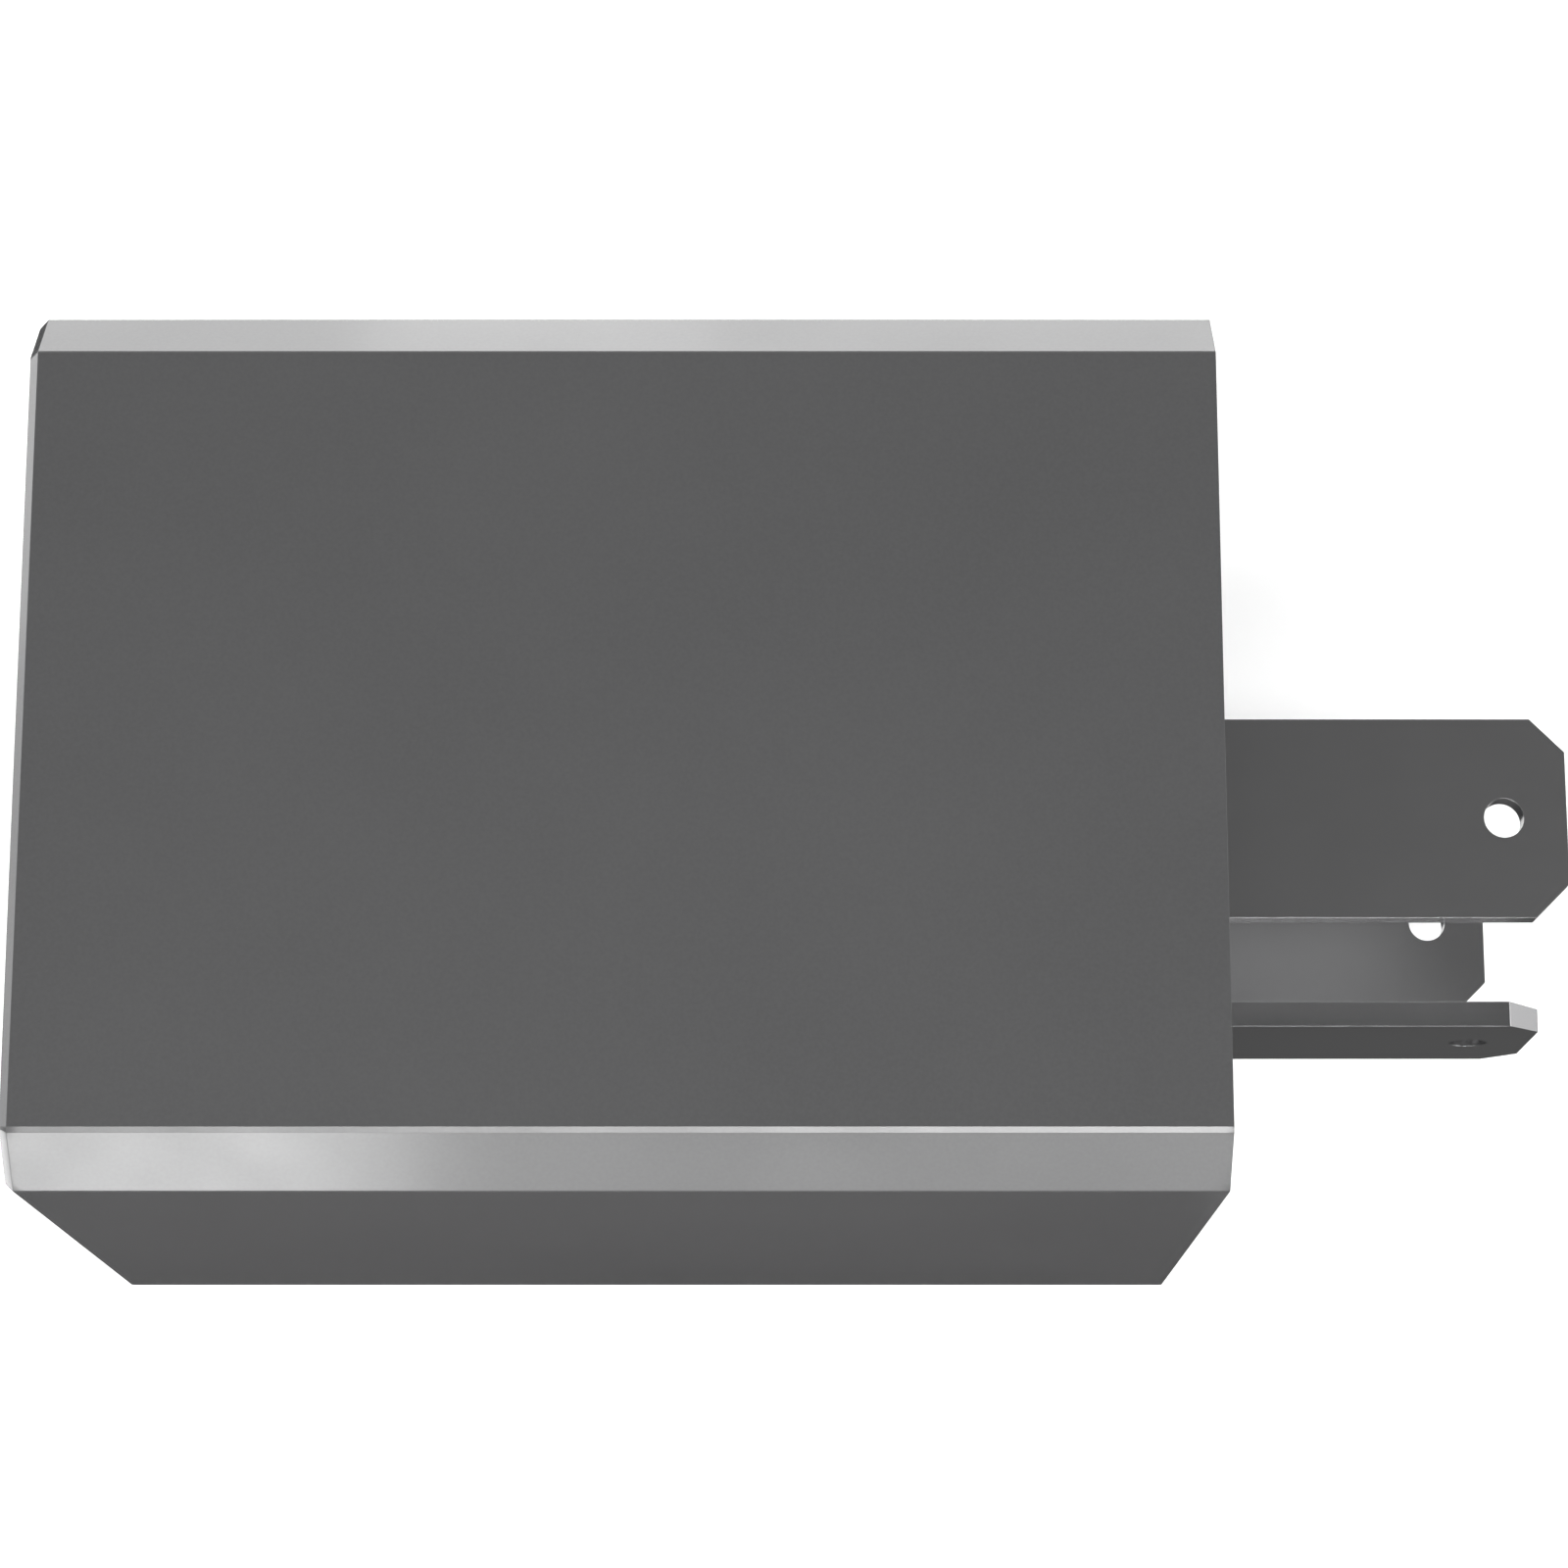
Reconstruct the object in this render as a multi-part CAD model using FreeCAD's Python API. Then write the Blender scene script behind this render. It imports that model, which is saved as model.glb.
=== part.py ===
import FreeCAD, Part
import os

# Plug-in inverter module with three flat blade terminals. Millimetres.
# X runs along the blades, Y and Z run across the square housing, +Z is the broad face that
# looks up when the module lies on its side. The origin is the centre of the terminal face.

V = FreeCAD.Vector
ALONG_X = V(1, 0, 0)
ALONG_Y = V(0, 1, 0)
ALONG_Z = V(0, 0, 1)

# housing
cover_width = 27.2        # across the flats, in Y and in Z
cover_length = 36.3       # closed end to terminal face
edge_chamfer = 1.6        # 45 degree chamfer on the four long edges
end_bevel = 0.27          # small bevel round the closed end
wall = 1.2
end_wall = 1.3
mouth_bevel = 0.3         # lead-in inside the open rim
rib_height = 0.5          # board guide ribs on the side walls
rib_thickness = 0.8

# base and gasket
plug_gap = 0.08           # running gap between base and cover
base_thickness = 3.4
groove_start = 1.2        # gasket groove, measured in from the terminal face
gasket_width = 1.0
gasket_depth = 0.8
gasket_gap = 0.03
slot_gap = 0.03           # round each blade, in its slot
fork_length = 3.0         # the two forks that hold the board's front edge
fork_jaw = 1.4
fork_inner, fork_outer = 9.6, 11.5
cheek_height = 1.2        # the low walls that back the pair's tails
cheek_thickness = 0.9

# blades: the standard 6.3 x 0.8 tab
blade_width = 6.3
blade_thickness = 0.8
blade_reach = 11.05       # terminal face to tip
tip_chamfer = 1.06
tip_bevel_length = 1.0
tip_bevel_depth = 0.06
tip_hole_radius = 0.62
tip_hole_inset = 1.95     # tip to hole centre
pair_offset_z = 8.28      # two blades, flat side towards +-Z
pair_centre_y = -1.51
lower_blade_y = -6.68     # third blade, flat side towards +-Y
shoulder = 0.7            # how much wider the pair's tails are than their blades
pair_leg_width = 1.6
pair_leg_x = -5.8         # centre of the pair's solder legs
output_leg_x = -6.0
output_leg_half = 1.2     # half the width of the output blade's narrowed tail
output_shoulder = 0.3
lead_above_board = 1.2    # how far the output leg stands above the board

# main board
board_bottom = -6.0
board_thickness = 1.6
board_front = -3.6
board_rear = -34.0
board_half_width = 12.2
board_corner = 1.2
lead_end = -7.2           # how far the through-hole leads reach below
hole_gap = 0.15
rib_gap = 0.1             # board edge to guide rib

# transformer, two E cores on one bobbin, winding axis along X
core_centre_x = -25.4
core_centre_y = 2.6
core_half_width = 9.55    # Z
core_half_length = 8.0    # X
core_half_height = 2.5    # Y
core_back = 2.4
centre_leg_half = 2.4
window_half = 7.15
bobbin_wall = 0.8
bobbin_slack = 0.15
flange_thickness = 0.9
flange_half_length = 5.5
flange_half_z = 7.0
flange_half_y = 6.6
rail_half_z = 8.5
rail_foot = 0.8
primary_build = 1.2
secondary_build = 1.3
tape_thickness = 0.12
tube_corner = 0.6
core_tape_half = 1.5
pin_radius = 0.35
pin_pitch = 4.0
pin_row = 7.0             # pin rows, either side of the core centre
pin_depth = 2.2           # how far the pins sit in the bobbin's rail

# input capacitor, standing on the board
can_radius = 3.85
can_wall = 0.3
can_height = 11.1
can_lift = 0.2
can_x = -11.5
can_z = 7.6
sleeve_thickness = 0.15
bung_height = 1.8
roll_clearance = 0.25
roll_hole = 0.6           # radius of the hollow the foil was wound on
can_lead_radius = 0.3
can_lead_pitch = 3.5
can_top = 0.4             # thickness of the can's closed end, and its rim bevel
sleeve_lip = 0.9          # how far the sleeve rolls over the can's top

# output capacitor, a moulded box
film_length = 10.0
film_height = 9.0
film_depth = 4.5
film_x = -11.9
film_z = -9.15
film_foot = 0.3
film_lead_pitch = 7.5
film_lead_radius = 0.3
film_corner = 0.4

# two transistors back to back on a heat spreader
spreader_half_length = 5.0
spreader_x = -12.0
spreader_thickness = 1.0
spreader_top = 9.2
spreader_foot = 1.5
transistor_width = 8.0
transistor_height = 11.0
transistor_depth = 2.4
transistor_stand = 2.2    # board to body
transistor_bevel = 0.3
pad_thickness = 0.2
transistor_lead_pitch = 2.28
transistor_lead_width = 0.8
transistor_lead_depth = 0.5
clip_thickness = 0.35
clip_width = 4.0
clip_low = 4.0

# parts soldered flat under the board
chip_length, chip_width, chip_height = 4.9, 3.9, 1.5
chip_lead_pitch = 1.27
choke_x, choke_z = -11.8, -5.6
choke_radius, choke_height, choke_post = 2.4, 1.95, 1.0
fuse_x, fuse_z = -10.4, 4.6
diode_x, diode_z = -15.2, 10.2
resistor_size = (2.0, 0.5, 1.25)
ceramic_size = (2.0, 1.0, 1.25)
end_cap = 0.4             # metal end of a chip resistor or capacitor
fillet_height = 1.0       # solder fillets
fillet_spread = 0.6

board_top = board_bottom + board_thickness
pair_tail_end = pair_leg_x - pair_leg_width / 2
output_leg_top = board_top + lead_above_board
pin_top = board_top + rail_foot + pin_depth
film_lead_top = board_top + film_foot + 1.5
can_lead_top = board_top + can_lift + bung_height
half_width = cover_width / 2
cavity_half = half_width - wall
cavity_chamfer = edge_chamfer - wall * (2 - 2 ** 0.5)
cavity_end = -cover_length + end_wall


def block(x, y, z):
    """A box from three (low, high) pairs."""
    corner = V(min(x), min(y), min(z))
    return Part.makeBox(abs(x[1] - x[0]), abs(y[1] - y[0]), abs(z[1] - z[0]), corner)


def rod(x, y, z, radius, length, direction):
    return Part.makeCylinder(radius, length, V(x, y, z), direction)


def fuse_all(shapes):
    body = shapes[0].multiFuse(shapes[1:]) if len(shapes) > 1 else shapes[0]
    return body.removeSplitter()


def mirrored_z(shape):
    return shape.mirror(V(0, 0, 0), ALONG_Z)


def octagon_wire(x, half, chamfer):
    """The housing's section: a square across X with its corners cut at 45 degrees."""
    near = half - chamfer
    corners = [(half, -near), (half, near), (near, half), (-near, half),
               (-half, near), (-half, -near), (-near, -half), (near, -half)]
    points = [V(x, y, z) for y, z in corners]
    return Part.makePolygon(points + points[:1])


def octagon_prism(start, end, half, chamfer):
    return Part.Face(octagon_wire(start, half, chamfer)).extrude(V(end - start, 0, 0))


def rounded_prism(start, end, y, z, half_y, half_z, radius):
    """A rounded rectangle across X, carried from start to end."""
    bar = block((start, end), (y - half_y, y + half_y), (z - half_z, z + half_z))
    long_edges = [e for e in bar.Edges if abs(e.tangentAt(e.FirstParameter).x) > 0.99]
    return bar.makeFillet(radius, long_edges)


def bevelled(shape, size, keep):
    """Bevels the edges for which keep(edge) is true."""
    return shape.makeChamfer(size, [e for e in shape.Edges if keep(e)])


# ---------------------------------------------------------------- where the leads go

def transformer_pin_places():
    rows = (core_centre_x - pin_row, core_centre_x + pin_row)
    return [(x, pin_pitch * (i - 1.5)) for x in rows for i in range(4)]


def can_lead_places():
    return [(can_x + side * can_lead_pitch / 2, can_z) for side in (-1, 1)]


def film_lead_places():
    return [(film_x + side * film_lead_pitch / 2, film_z) for side in (-1, 1)]


def transistor_lead_places(side):
    z = side * (spreader_thickness / 2 + pad_thickness + transistor_depth / 2)
    return [(spreader_x + i * transistor_lead_pitch, z) for i in (-1, 0, 1)]


def round_leads():
    """Every round lead that passes through the board, as (x, z, radius)."""
    places = [(x, z, pin_radius) for x, z in transformer_pin_places()]
    places += [(x, z, can_lead_radius) for x, z in can_lead_places()]
    places += [(x, z, film_lead_radius) for x, z in film_lead_places()]
    return places


def flat_legs():
    """Every flat leg soldered under the board, as (x, z, size along X, size along Z)."""
    legs = [(x, z, transistor_lead_width, transistor_lead_depth)
            for side in (-1, 1) for x, z in transistor_lead_places(side)]
    legs += [(pair_leg_x, side * pair_offset_z, pair_leg_width, blade_thickness)
             for side in (-1, 1)]
    return legs


# ---------------------------------------------------------------- housing

def cover():
    """The cap: an open box with chamfered long edges and guide ribs for the board."""
    outer = octagon_prism(-cover_length, 0, half_width, edge_chamfer)
    outer = bevelled(outer, end_bevel, lambda e: e.BoundBox.XMax < -cover_length + 0.01)
    cavity = octagon_prism(cavity_end, 1, cavity_half, cavity_chamfer)
    lead_in = Part.makeLoft([octagon_wire(-mouth_bevel, cavity_half, cavity_chamfer),
                             octagon_wire(0, cavity_half + mouth_bevel, cavity_chamfer)],
                            True, True)
    shell = outer.cut(cavity).cut(lead_in)
    rib_x = (cavity_end, board_front - 1)
    above = (board_top + rib_gap, board_top + rib_gap + rib_thickness)
    below = (board_bottom - rib_gap - rib_thickness, board_bottom - rib_gap)
    ribs = [block(rib_x, y, (side * (cavity_half - rib_height), side * (cavity_half + wall / 2)))
            for y in (above, below) for side in (-1, 1)]
    return fuse_all([shell] + ribs)


def blade_slots():
    """The three slots that the blades stand in, right through the base."""
    x = (-base_thickness - 3, 1)
    half_t = blade_thickness / 2 + slot_gap
    half_w = blade_width / 2 + slot_gap
    pair = [block(x, (pair_centre_y - half_w, pair_centre_y + half_w),
                  (side * pair_offset_z - half_t, side * pair_offset_z + half_t))
            for side in (-1, 1)]
    lower = block(x, (lower_blade_y - half_t, lower_blade_y + half_t), (-half_w, half_w))
    return pair + [lower]


def base():
    """The plug that closes the cover, with a gasket groove and two forks for the board."""
    half = cavity_half - plug_gap
    plate = octagon_prism(-base_thickness, 0, half, cavity_chamfer)
    ring = octagon_prism(-groove_start - gasket_width, -groove_start, half + 1, cavity_chamfer)
    ring = ring.cut(octagon_prism(-groove_start - gasket_width - 1, -groove_start + 1,
                                  half - gasket_depth, cavity_chamfer))
    plate = plate.cut(ring)
    fork_x = (-base_thickness - fork_length, -base_thickness + 0.2)
    fork_y = (board_bottom - fork_jaw, board_top + fork_jaw)
    forks = [block(fork_x, fork_y, (side * fork_inner, side * fork_outer)) for side in (-1, 1)]
    board_slot = block((-10, board_front + slot_gap), (board_bottom - slot_gap, board_top + slot_gap),
                       (-board_half_width, board_half_width))
    forks = [fork.cut(board_slot) for fork in forks]
    cheek_x = (-base_thickness - cheek_height, -base_thickness + 0.2)
    cheek_y = (board_top + 0.3, pair_centre_y + blade_width / 2 + shoulder)
    blade_side = pair_offset_z - blade_thickness / 2 - slot_gap
    cheeks = [block(cheek_x, cheek_y, (side * (blade_side - cheek_thickness), side * blade_side))
              for side in (-1, 1)]
    body = fuse_all([plate] + forks + cheeks)
    return body.cut(blade_slots()).removeSplitter()


def base_gasket():
    """The rubber ring in the base's groove, at its compressed size."""
    start, end = -groove_start - gasket_width, -groove_start
    outer = octagon_prism(start, end, cavity_half - gasket_gap, cavity_chamfer)
    inner = octagon_prism(start - 1, end + 1, cavity_half - plug_gap - gasket_depth, cavity_chamfer)
    return outer.cut(inner)


# ---------------------------------------------------------------- blade terminals

def blade():
    """A tab lying flat, width along Y and thickness along Z, up to the base's inner face."""
    half_w = blade_width / 2
    half_t = blade_thickness / 2
    outline = [(-base_thickness, -half_w), (blade_reach - tip_chamfer, -half_w),
               (blade_reach, -half_w + tip_chamfer), (blade_reach, half_w - tip_chamfer),
               (blade_reach - tip_chamfer, half_w), (-base_thickness, half_w)]
    points = [V(x, y, -half_t) for x, y in outline]
    plate = Part.Face(Part.makePolygon(points + points[:1])).extrude(V(0, 0, blade_thickness))
    hole = rod(blade_reach - tip_hole_inset, 0, -1, tip_hole_radius, 2, ALONG_Z)
    wedge_points = [V(blade_reach - tip_bevel_length, -half_w - 1, -half_t),
                    V(blade_reach + 1e-3, -half_w - 1, -half_t),
                    V(blade_reach + 1e-3, -half_w - 1, -half_t + tip_bevel_depth)]
    wedge = Part.Face(Part.makePolygon(wedge_points + wedge_points[:1]))
    return plate.cut(hole).cut(wedge.extrude(V(0, blade_width + 2, 0)))


def pair_terminal(side):
    """One of the two parallel blades, with a wider tail and a solder leg through the board."""
    tab = blade().translated(V(0, pair_centre_y, side * pair_offset_z))
    z = (side * pair_offset_z - blade_thickness / 2, side * pair_offset_z + blade_thickness / 2)
    tail_y = (board_top + 0.2, pair_centre_y + blade_width / 2 + shoulder)
    tail = block((pair_tail_end, -base_thickness), tail_y, z)
    leg = block((pair_tail_end, pair_tail_end + pair_leg_width), (lead_end, tail_y[0]), z)
    return fuse_all([tab, tail, leg])


def output_terminal():
    """The third blade, turned a quarter turn, with its tail bent up through the board."""
    tab = blade()
    tab.rotate(V(0, 0, 0), ALONG_X, 90)
    tab.translate(V(0, lower_blade_y, 0))
    half_t = blade_thickness / 2
    y = (lower_blade_y - half_t, lower_blade_y + half_t)
    tail = block((output_leg_x - half_t, -base_thickness), y, (-output_leg_half, output_leg_half))
    tail_shoulder = block((-base_thickness - 1.0, -base_thickness), y,
                          (-blade_width / 2 - output_shoulder, blade_width / 2 + output_shoulder))
    leg = block((output_leg_x - half_t, output_leg_x + half_t), (y[0], output_leg_top),
                (-output_leg_half, output_leg_half))
    return fuse_all([tab, tail, tail_shoulder, leg])


# ---------------------------------------------------------------- board and solder

def main_board():
    """The laminate, with a hole or slot for every lead."""
    plate = block((board_rear, board_front), (board_bottom, board_top),
                  (-board_half_width, board_half_width))
    plate = bevelled(plate, board_corner, lambda e: e.BoundBox.XMax < board_rear + 0.01
                     and e.BoundBox.YLength > board_thickness - 0.01)
    below = board_bottom - 1
    through = board_thickness + 2
    cuts = [rod(x, below, z, radius + hole_gap, through, ALONG_Y) for x, z, radius in round_leads()]
    for x, z, size_x, size_z in flat_legs():
        half_x = size_x / 2 + hole_gap
        half_z = size_z / 2 + hole_gap
        cuts.append(block((x - half_x, x + half_x), (below, below + through),
                          (z - half_z, z + half_z)))
    leg_half_x = blade_thickness / 2 + hole_gap
    cuts.append(block((output_leg_x - leg_half_x, output_leg_x + leg_half_x),
                      (below, below + through),
                      (-output_leg_half - hole_gap, output_leg_half + hole_gap)))
    for x in spreader_foot_places():
        cuts.append(block((x - spreader_foot / 2 - 0.05, x + spreader_foot / 2 + 0.05),
                          (below, below + through),
                          (-spreader_thickness / 2 - 0.05, spreader_thickness / 2 + 0.05)))
    return plate.cut(cuts)


def rectangle_wire(x, y, z, size_x, size_z):
    corners = [(-1, -1), (1, -1), (1, 1), (-1, 1)]
    points = [V(x + i * size_x / 2, y, z + k * size_z / 2) for i, k in corners]
    return Part.makePolygon(points + points[:1])


def flat_fillet(x, z, size_x, size_z, foot_y, top_y):
    """A solder fillet round a flat leg."""
    wide = 2 * fillet_spread
    wires = [rectangle_wire(x, foot_y, z, size_x + wide, size_z + wide),
             rectangle_wire(x, top_y, z, size_x + 0.2, size_z + 0.2)]
    leg = block((x - size_x / 2, x + size_x / 2), (foot_y - 2, foot_y + 2),
                (z - size_z / 2, z + size_z / 2))
    return Part.makeLoft(wires, True, True).cut(leg)


def solder_joints():
    """A cone of solder round each lead under the board, and one on top at the output leg."""
    joints = []
    for x, z, radius in round_leads():
        cone = Part.makeCone(radius + fillet_spread, radius + 0.1, fillet_height,
                             V(x, board_bottom, z), V(0, -1, 0))
        joints.append(cone.cut(rod(x, board_bottom - 2, z, radius, 4, ALONG_Y)))
    for x, z, size_x, size_z in flat_legs():
        joints.append(flat_fillet(x, z, size_x, size_z, board_bottom,
                                  board_bottom - fillet_height))
    joints.append(flat_fillet(output_leg_x, 0, blade_thickness, 2 * output_leg_half,
                              board_top, board_top + fillet_height))
    return Part.makeCompound(joints)


# ---------------------------------------------------------------- transformer

def core_half(side):
    """One E of ferrite. Its legs meet the other E in the middle of the bobbin."""
    y = (core_centre_y - core_half_height, core_centre_y + core_half_height)
    tip = core_centre_x
    inner_back = core_centre_x + side * (core_half_length - core_back)
    end = core_centre_x + side * core_half_length
    back = block((inner_back, end), y, (-core_half_width, core_half_width))
    middle = block((tip, inner_back), y, (-centre_leg_half, centre_leg_half))
    outer = [block((tip, inner_back), y, (k * window_half, k * core_half_width)) for k in (-1, 1)]
    return fuse_all([back, middle] + outer)


def winding_layer(half_length, start, build):
    """A rounded ring round the bobbin's tube, from start to start + build above it."""
    tube_y = core_half_height + bobbin_slack + bobbin_wall
    tube_z = centre_leg_half + bobbin_slack + bobbin_wall
    ends = (core_centre_x - half_length, core_centre_x + half_length)
    outer = start + build
    solid = rounded_prism(ends[0], ends[1], core_centre_y, 0, tube_y + outer, tube_z + outer,
                          tube_corner + outer)
    hollow = rounded_prism(ends[0] - 1, ends[1] + 1, core_centre_y, 0, tube_y + start,
                           tube_z + start, tube_corner + start)
    return solid.cut(hollow)


def transformer_bobbin():
    """Tube, two flanges, and a rail of pins under each end of the core."""
    tube_y = core_half_height + bobbin_slack
    tube_z = centre_leg_half + bobbin_slack
    left, right = core_centre_x - flange_half_length, core_centre_x + flange_half_length
    tube = rounded_prism(left, right, core_centre_y, 0, tube_y + bobbin_wall,
                         tube_z + bobbin_wall, tube_corner)
    pieces = [tube]
    for side in (-1, 1):
        face = core_centre_x + side * flange_half_length
        inner = face - side * flange_thickness
        pieces.append(block((inner, face), (board_top + 0.3, core_centre_y + flange_half_y),
                            (-flange_half_z, flange_half_z)))
        rail_end = core_centre_x + side * core_half_length
        rail_top = core_centre_y - core_half_height - 0.1
        pieces.append(block((inner, rail_end), (board_top + rail_foot, rail_top),
                            (-rail_half_z, rail_half_z)))
        for k in (-1, 1):
            pieces.append(block((rail_end - side * 1.6, rail_end), (board_top, board_top + rail_foot),
                                (k * (rail_half_z - 1.2), k * rail_half_z)))
    body = fuse_all(pieces)
    tunnel = block((left - 1, right + 1), (core_centre_y - tube_y, core_centre_y + tube_y),
                   (-tube_z, tube_z))
    sockets = [rod(x, board_bottom, z, pin_radius, pin_top - board_bottom, ALONG_Y)
               for x, z in transformer_pin_places()]
    return body.cut([tunnel] + sockets)


def transformer_pins():
    return Part.makeCompound([rod(x, lead_end, z, pin_radius, pin_top - lead_end, ALONG_Y)
                              for x, z in transformer_pin_places()])


def core_tape():
    """One turn of tape round the outside of both cores."""
    inner_x, inner_z = core_half_length, core_half_width
    y = (core_centre_y - core_tape_half, core_centre_y + core_tape_half)
    outer = block((core_centre_x - inner_x - tape_thickness, core_centre_x + inner_x + tape_thickness),
                  y, (-inner_z - tape_thickness, inner_z + tape_thickness))
    inner = block((core_centre_x - inner_x, core_centre_x + inner_x), (y[0] - 1, y[1] + 1),
                  (-inner_z, inner_z))
    return outer.cut(inner)


# ---------------------------------------------------------------- input capacitor

def input_capacitor_can():
    """The aluminium can: closed at the top, open at the foot."""
    foot = board_top + can_lift
    body = rod(can_x, foot, can_z, can_radius, can_height, ALONG_Y)
    body = bevelled(body, can_top, lambda e: e.BoundBox.YMin > foot + can_height - 0.01)
    hollow = rod(can_x, foot - 1, can_z, can_radius - can_wall, can_height - can_top + 1, ALONG_Y)
    return body.cut(hollow)


def input_capacitor_sleeve():
    """The shrink sleeve over the can, rolled a little way over its top."""
    foot = board_top + can_lift
    outer = rod(can_x, foot, can_z, can_radius + sleeve_thickness, can_height + sleeve_thickness,
                ALONG_Y)
    outer = bevelled(outer, can_top, lambda e: e.BoundBox.YMin > foot + can_height)
    top_hole = rod(can_x, foot + can_height - 1, can_z, can_radius - sleeve_lip, 3, ALONG_Y)
    core = rod(can_x, foot - 1, can_z, can_radius, can_height + 1, ALONG_Y)
    core = bevelled(core, can_top, lambda e: e.BoundBox.YMin > foot + can_height - 0.01)
    return outer.cut([core, top_hole])


def input_capacitor_bung():
    """The rubber plug in the can's foot, with a hole for each lead."""
    plug = rod(can_x, board_top, can_z, can_radius - can_wall, bung_height + can_lift, ALONG_Y)
    holes = [rod(x, board_top - 1, z, can_lead_radius, bung_height + 3, ALONG_Y)
             for x, z in can_lead_places()]
    return plug.cut(holes)


def input_capacitor_roll():
    """The wound foil element inside the can."""
    low = board_top + can_lift + bung_height + roll_clearance
    high = board_top + can_lift + can_height - can_top - roll_clearance
    radius = can_radius - can_wall - roll_clearance
    roll = rod(can_x, low, can_z, radius, high - low, ALONG_Y)
    return roll.cut(rod(can_x, low - 1, can_z, roll_hole, high - low + 2, ALONG_Y))


def leads(places, radius, top):
    return Part.makeCompound([rod(x, lead_end, z, radius, top - lead_end, ALONG_Y)
                              for x, z in places])


# ---------------------------------------------------------------- output capacitor

def output_capacitor():
    """A moulded box on two small feet."""
    low = board_top + film_foot
    x = (film_x - film_length / 2, film_x + film_length / 2)
    z = (film_z - film_depth / 2, film_z + film_depth / 2)
    body = block(x, (low, board_top + film_height), z)
    body = body.makeFillet(film_corner, [e for e in body.Edges if e.BoundBox.YMax > low + 0.1])
    feet = [block((x[0] + 0.8, x[0] + 1.6), (board_top, low + 0.1), (z[0] + 0.5, z[1] - 0.5)),
            block((x[1] - 1.6, x[1] - 0.8), (board_top, low + 0.1), (z[0] + 0.5, z[1] - 0.5))]
    body = fuse_all([body] + feet)
    return body.cut([rod(px, board_bottom, pz, film_lead_radius, film_lead_top - board_bottom,
                         ALONG_Y) for px, pz in film_lead_places()])


# ---------------------------------------------------------------- transistors

def spreader_foot_places():
    return [spreader_x - 0.8 * spreader_half_length, spreader_x + 0.8 * spreader_half_length]


def heat_spreader():
    """An aluminium plate that stands on the board on two feet."""
    x = (spreader_x - spreader_half_length, spreader_x + spreader_half_length)
    z = (-spreader_thickness / 2, spreader_thickness / 2)
    plate = block(x, (board_top, spreader_top), z)
    feet = [block((fx - spreader_foot / 2, fx + spreader_foot / 2), (board_bottom, board_top), z)
            for fx in spreader_foot_places()]
    relief = block((spreader_x - 2.9, spreader_x + 2.9), (board_top, board_top + 1.2), z)
    return fuse_all([plate] + feet).cut(relief)


def transistor_body(side):
    """A moulded package, standing flat against its pad."""
    low = board_top + transistor_stand
    inner = spreader_thickness / 2 + pad_thickness
    half = transistor_width / 2
    body = block((spreader_x - half, spreader_x + half), (low, low + transistor_height),
                 (side * inner, side * (inner + transistor_depth)))
    face = side * (inner + transistor_depth)
    body = bevelled(body, transistor_bevel,
                    lambda e: abs(e.CenterOfMass.z - face) < 0.01)
    return body.cut([block(*transistor_lead_box(x, z, low + 1.2))
                     for x, z in transistor_lead_places(side)])


def transistor_lead_box(x, z, top):
    half_w = transistor_lead_width / 2
    half_d = transistor_lead_depth / 2
    return (x - half_w, x + half_w), (lead_end, top), (z - half_d, z + half_d)


def transistor_leads(side):
    top = board_top + transistor_stand + 1.2
    return Part.makeCompound([block(*transistor_lead_box(x, z, top))
                              for x, z in transistor_lead_places(side)])


def thermal_pads():
    low = board_top + transistor_stand
    half = transistor_width / 2
    start = spreader_thickness / 2
    return Part.makeCompound([
        block((spreader_x - half, spreader_x + half), (low, low + transistor_height),
              (side * start, side * (start + pad_thickness))) for side in (-1, 1)])


def transistor_clip():
    """A spring-steel strap that squeezes both packages onto the plate."""
    inner = spreader_thickness / 2 + pad_thickness + transistor_depth
    outer = inner + clip_thickness
    x = (spreader_x - clip_width / 2, spreader_x + clip_width / 2)
    strap = block(x, (clip_low, spreader_top + clip_thickness), (-outer, outer))
    strap = strap.makeFillet(clip_thickness * 1.5, [
        e for e in strap.Edges if e.BoundBox.YMin > spreader_top + clip_thickness - 0.01
        and e.BoundBox.XLength > 1])
    gap = block((x[0] - 1, x[1] + 1), (clip_low - 1, spreader_top), (-inner, inner))
    return strap.cut(gap)


# ---------------------------------------------------------------- parts under the board

def hanging(x, z, size_x, height, size_z, lift=0.0):
    """A box that hangs under the board, lift below its surface."""
    return block((x - size_x / 2, x + size_x / 2), (board_bottom - lift - height, board_bottom - lift),
                 (z - size_z / 2, z + size_z / 2))


def controller_chip():
    body = hanging(core_centre_x, 0, chip_length, chip_height, chip_width, 0.1)
    return bevelled(body, 0.25, lambda e: e.BoundBox.YMax < board_bottom - chip_height)


def controller_chip_leads():
    """Eight gull-wing leads: shoulder, riser and foot."""
    half = chip_width / 2
    pieces = []
    for side in (-1, 1):
        for i in range(4):
            x = core_centre_x + chip_lead_pitch * (i - 1.5)
            wide = (x - 0.21, x + 0.21)
            shoulder_part = block(wide, (board_bottom - 1.0, board_bottom - 0.8),
                                  (side * half, side * (half + 0.55)))
            riser = block(wide, (board_bottom - 1.0, board_bottom),
                          (side * (half + 0.35), side * (half + 0.55)))
            foot = block(wide, (board_bottom - 0.2, board_bottom),
                         (side * (half + 0.35), side * (half + 1.05)))
            pieces.append(fuse_all([shoulder_part, riser, foot]))
    return Part.makeCompound(pieces)


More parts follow.
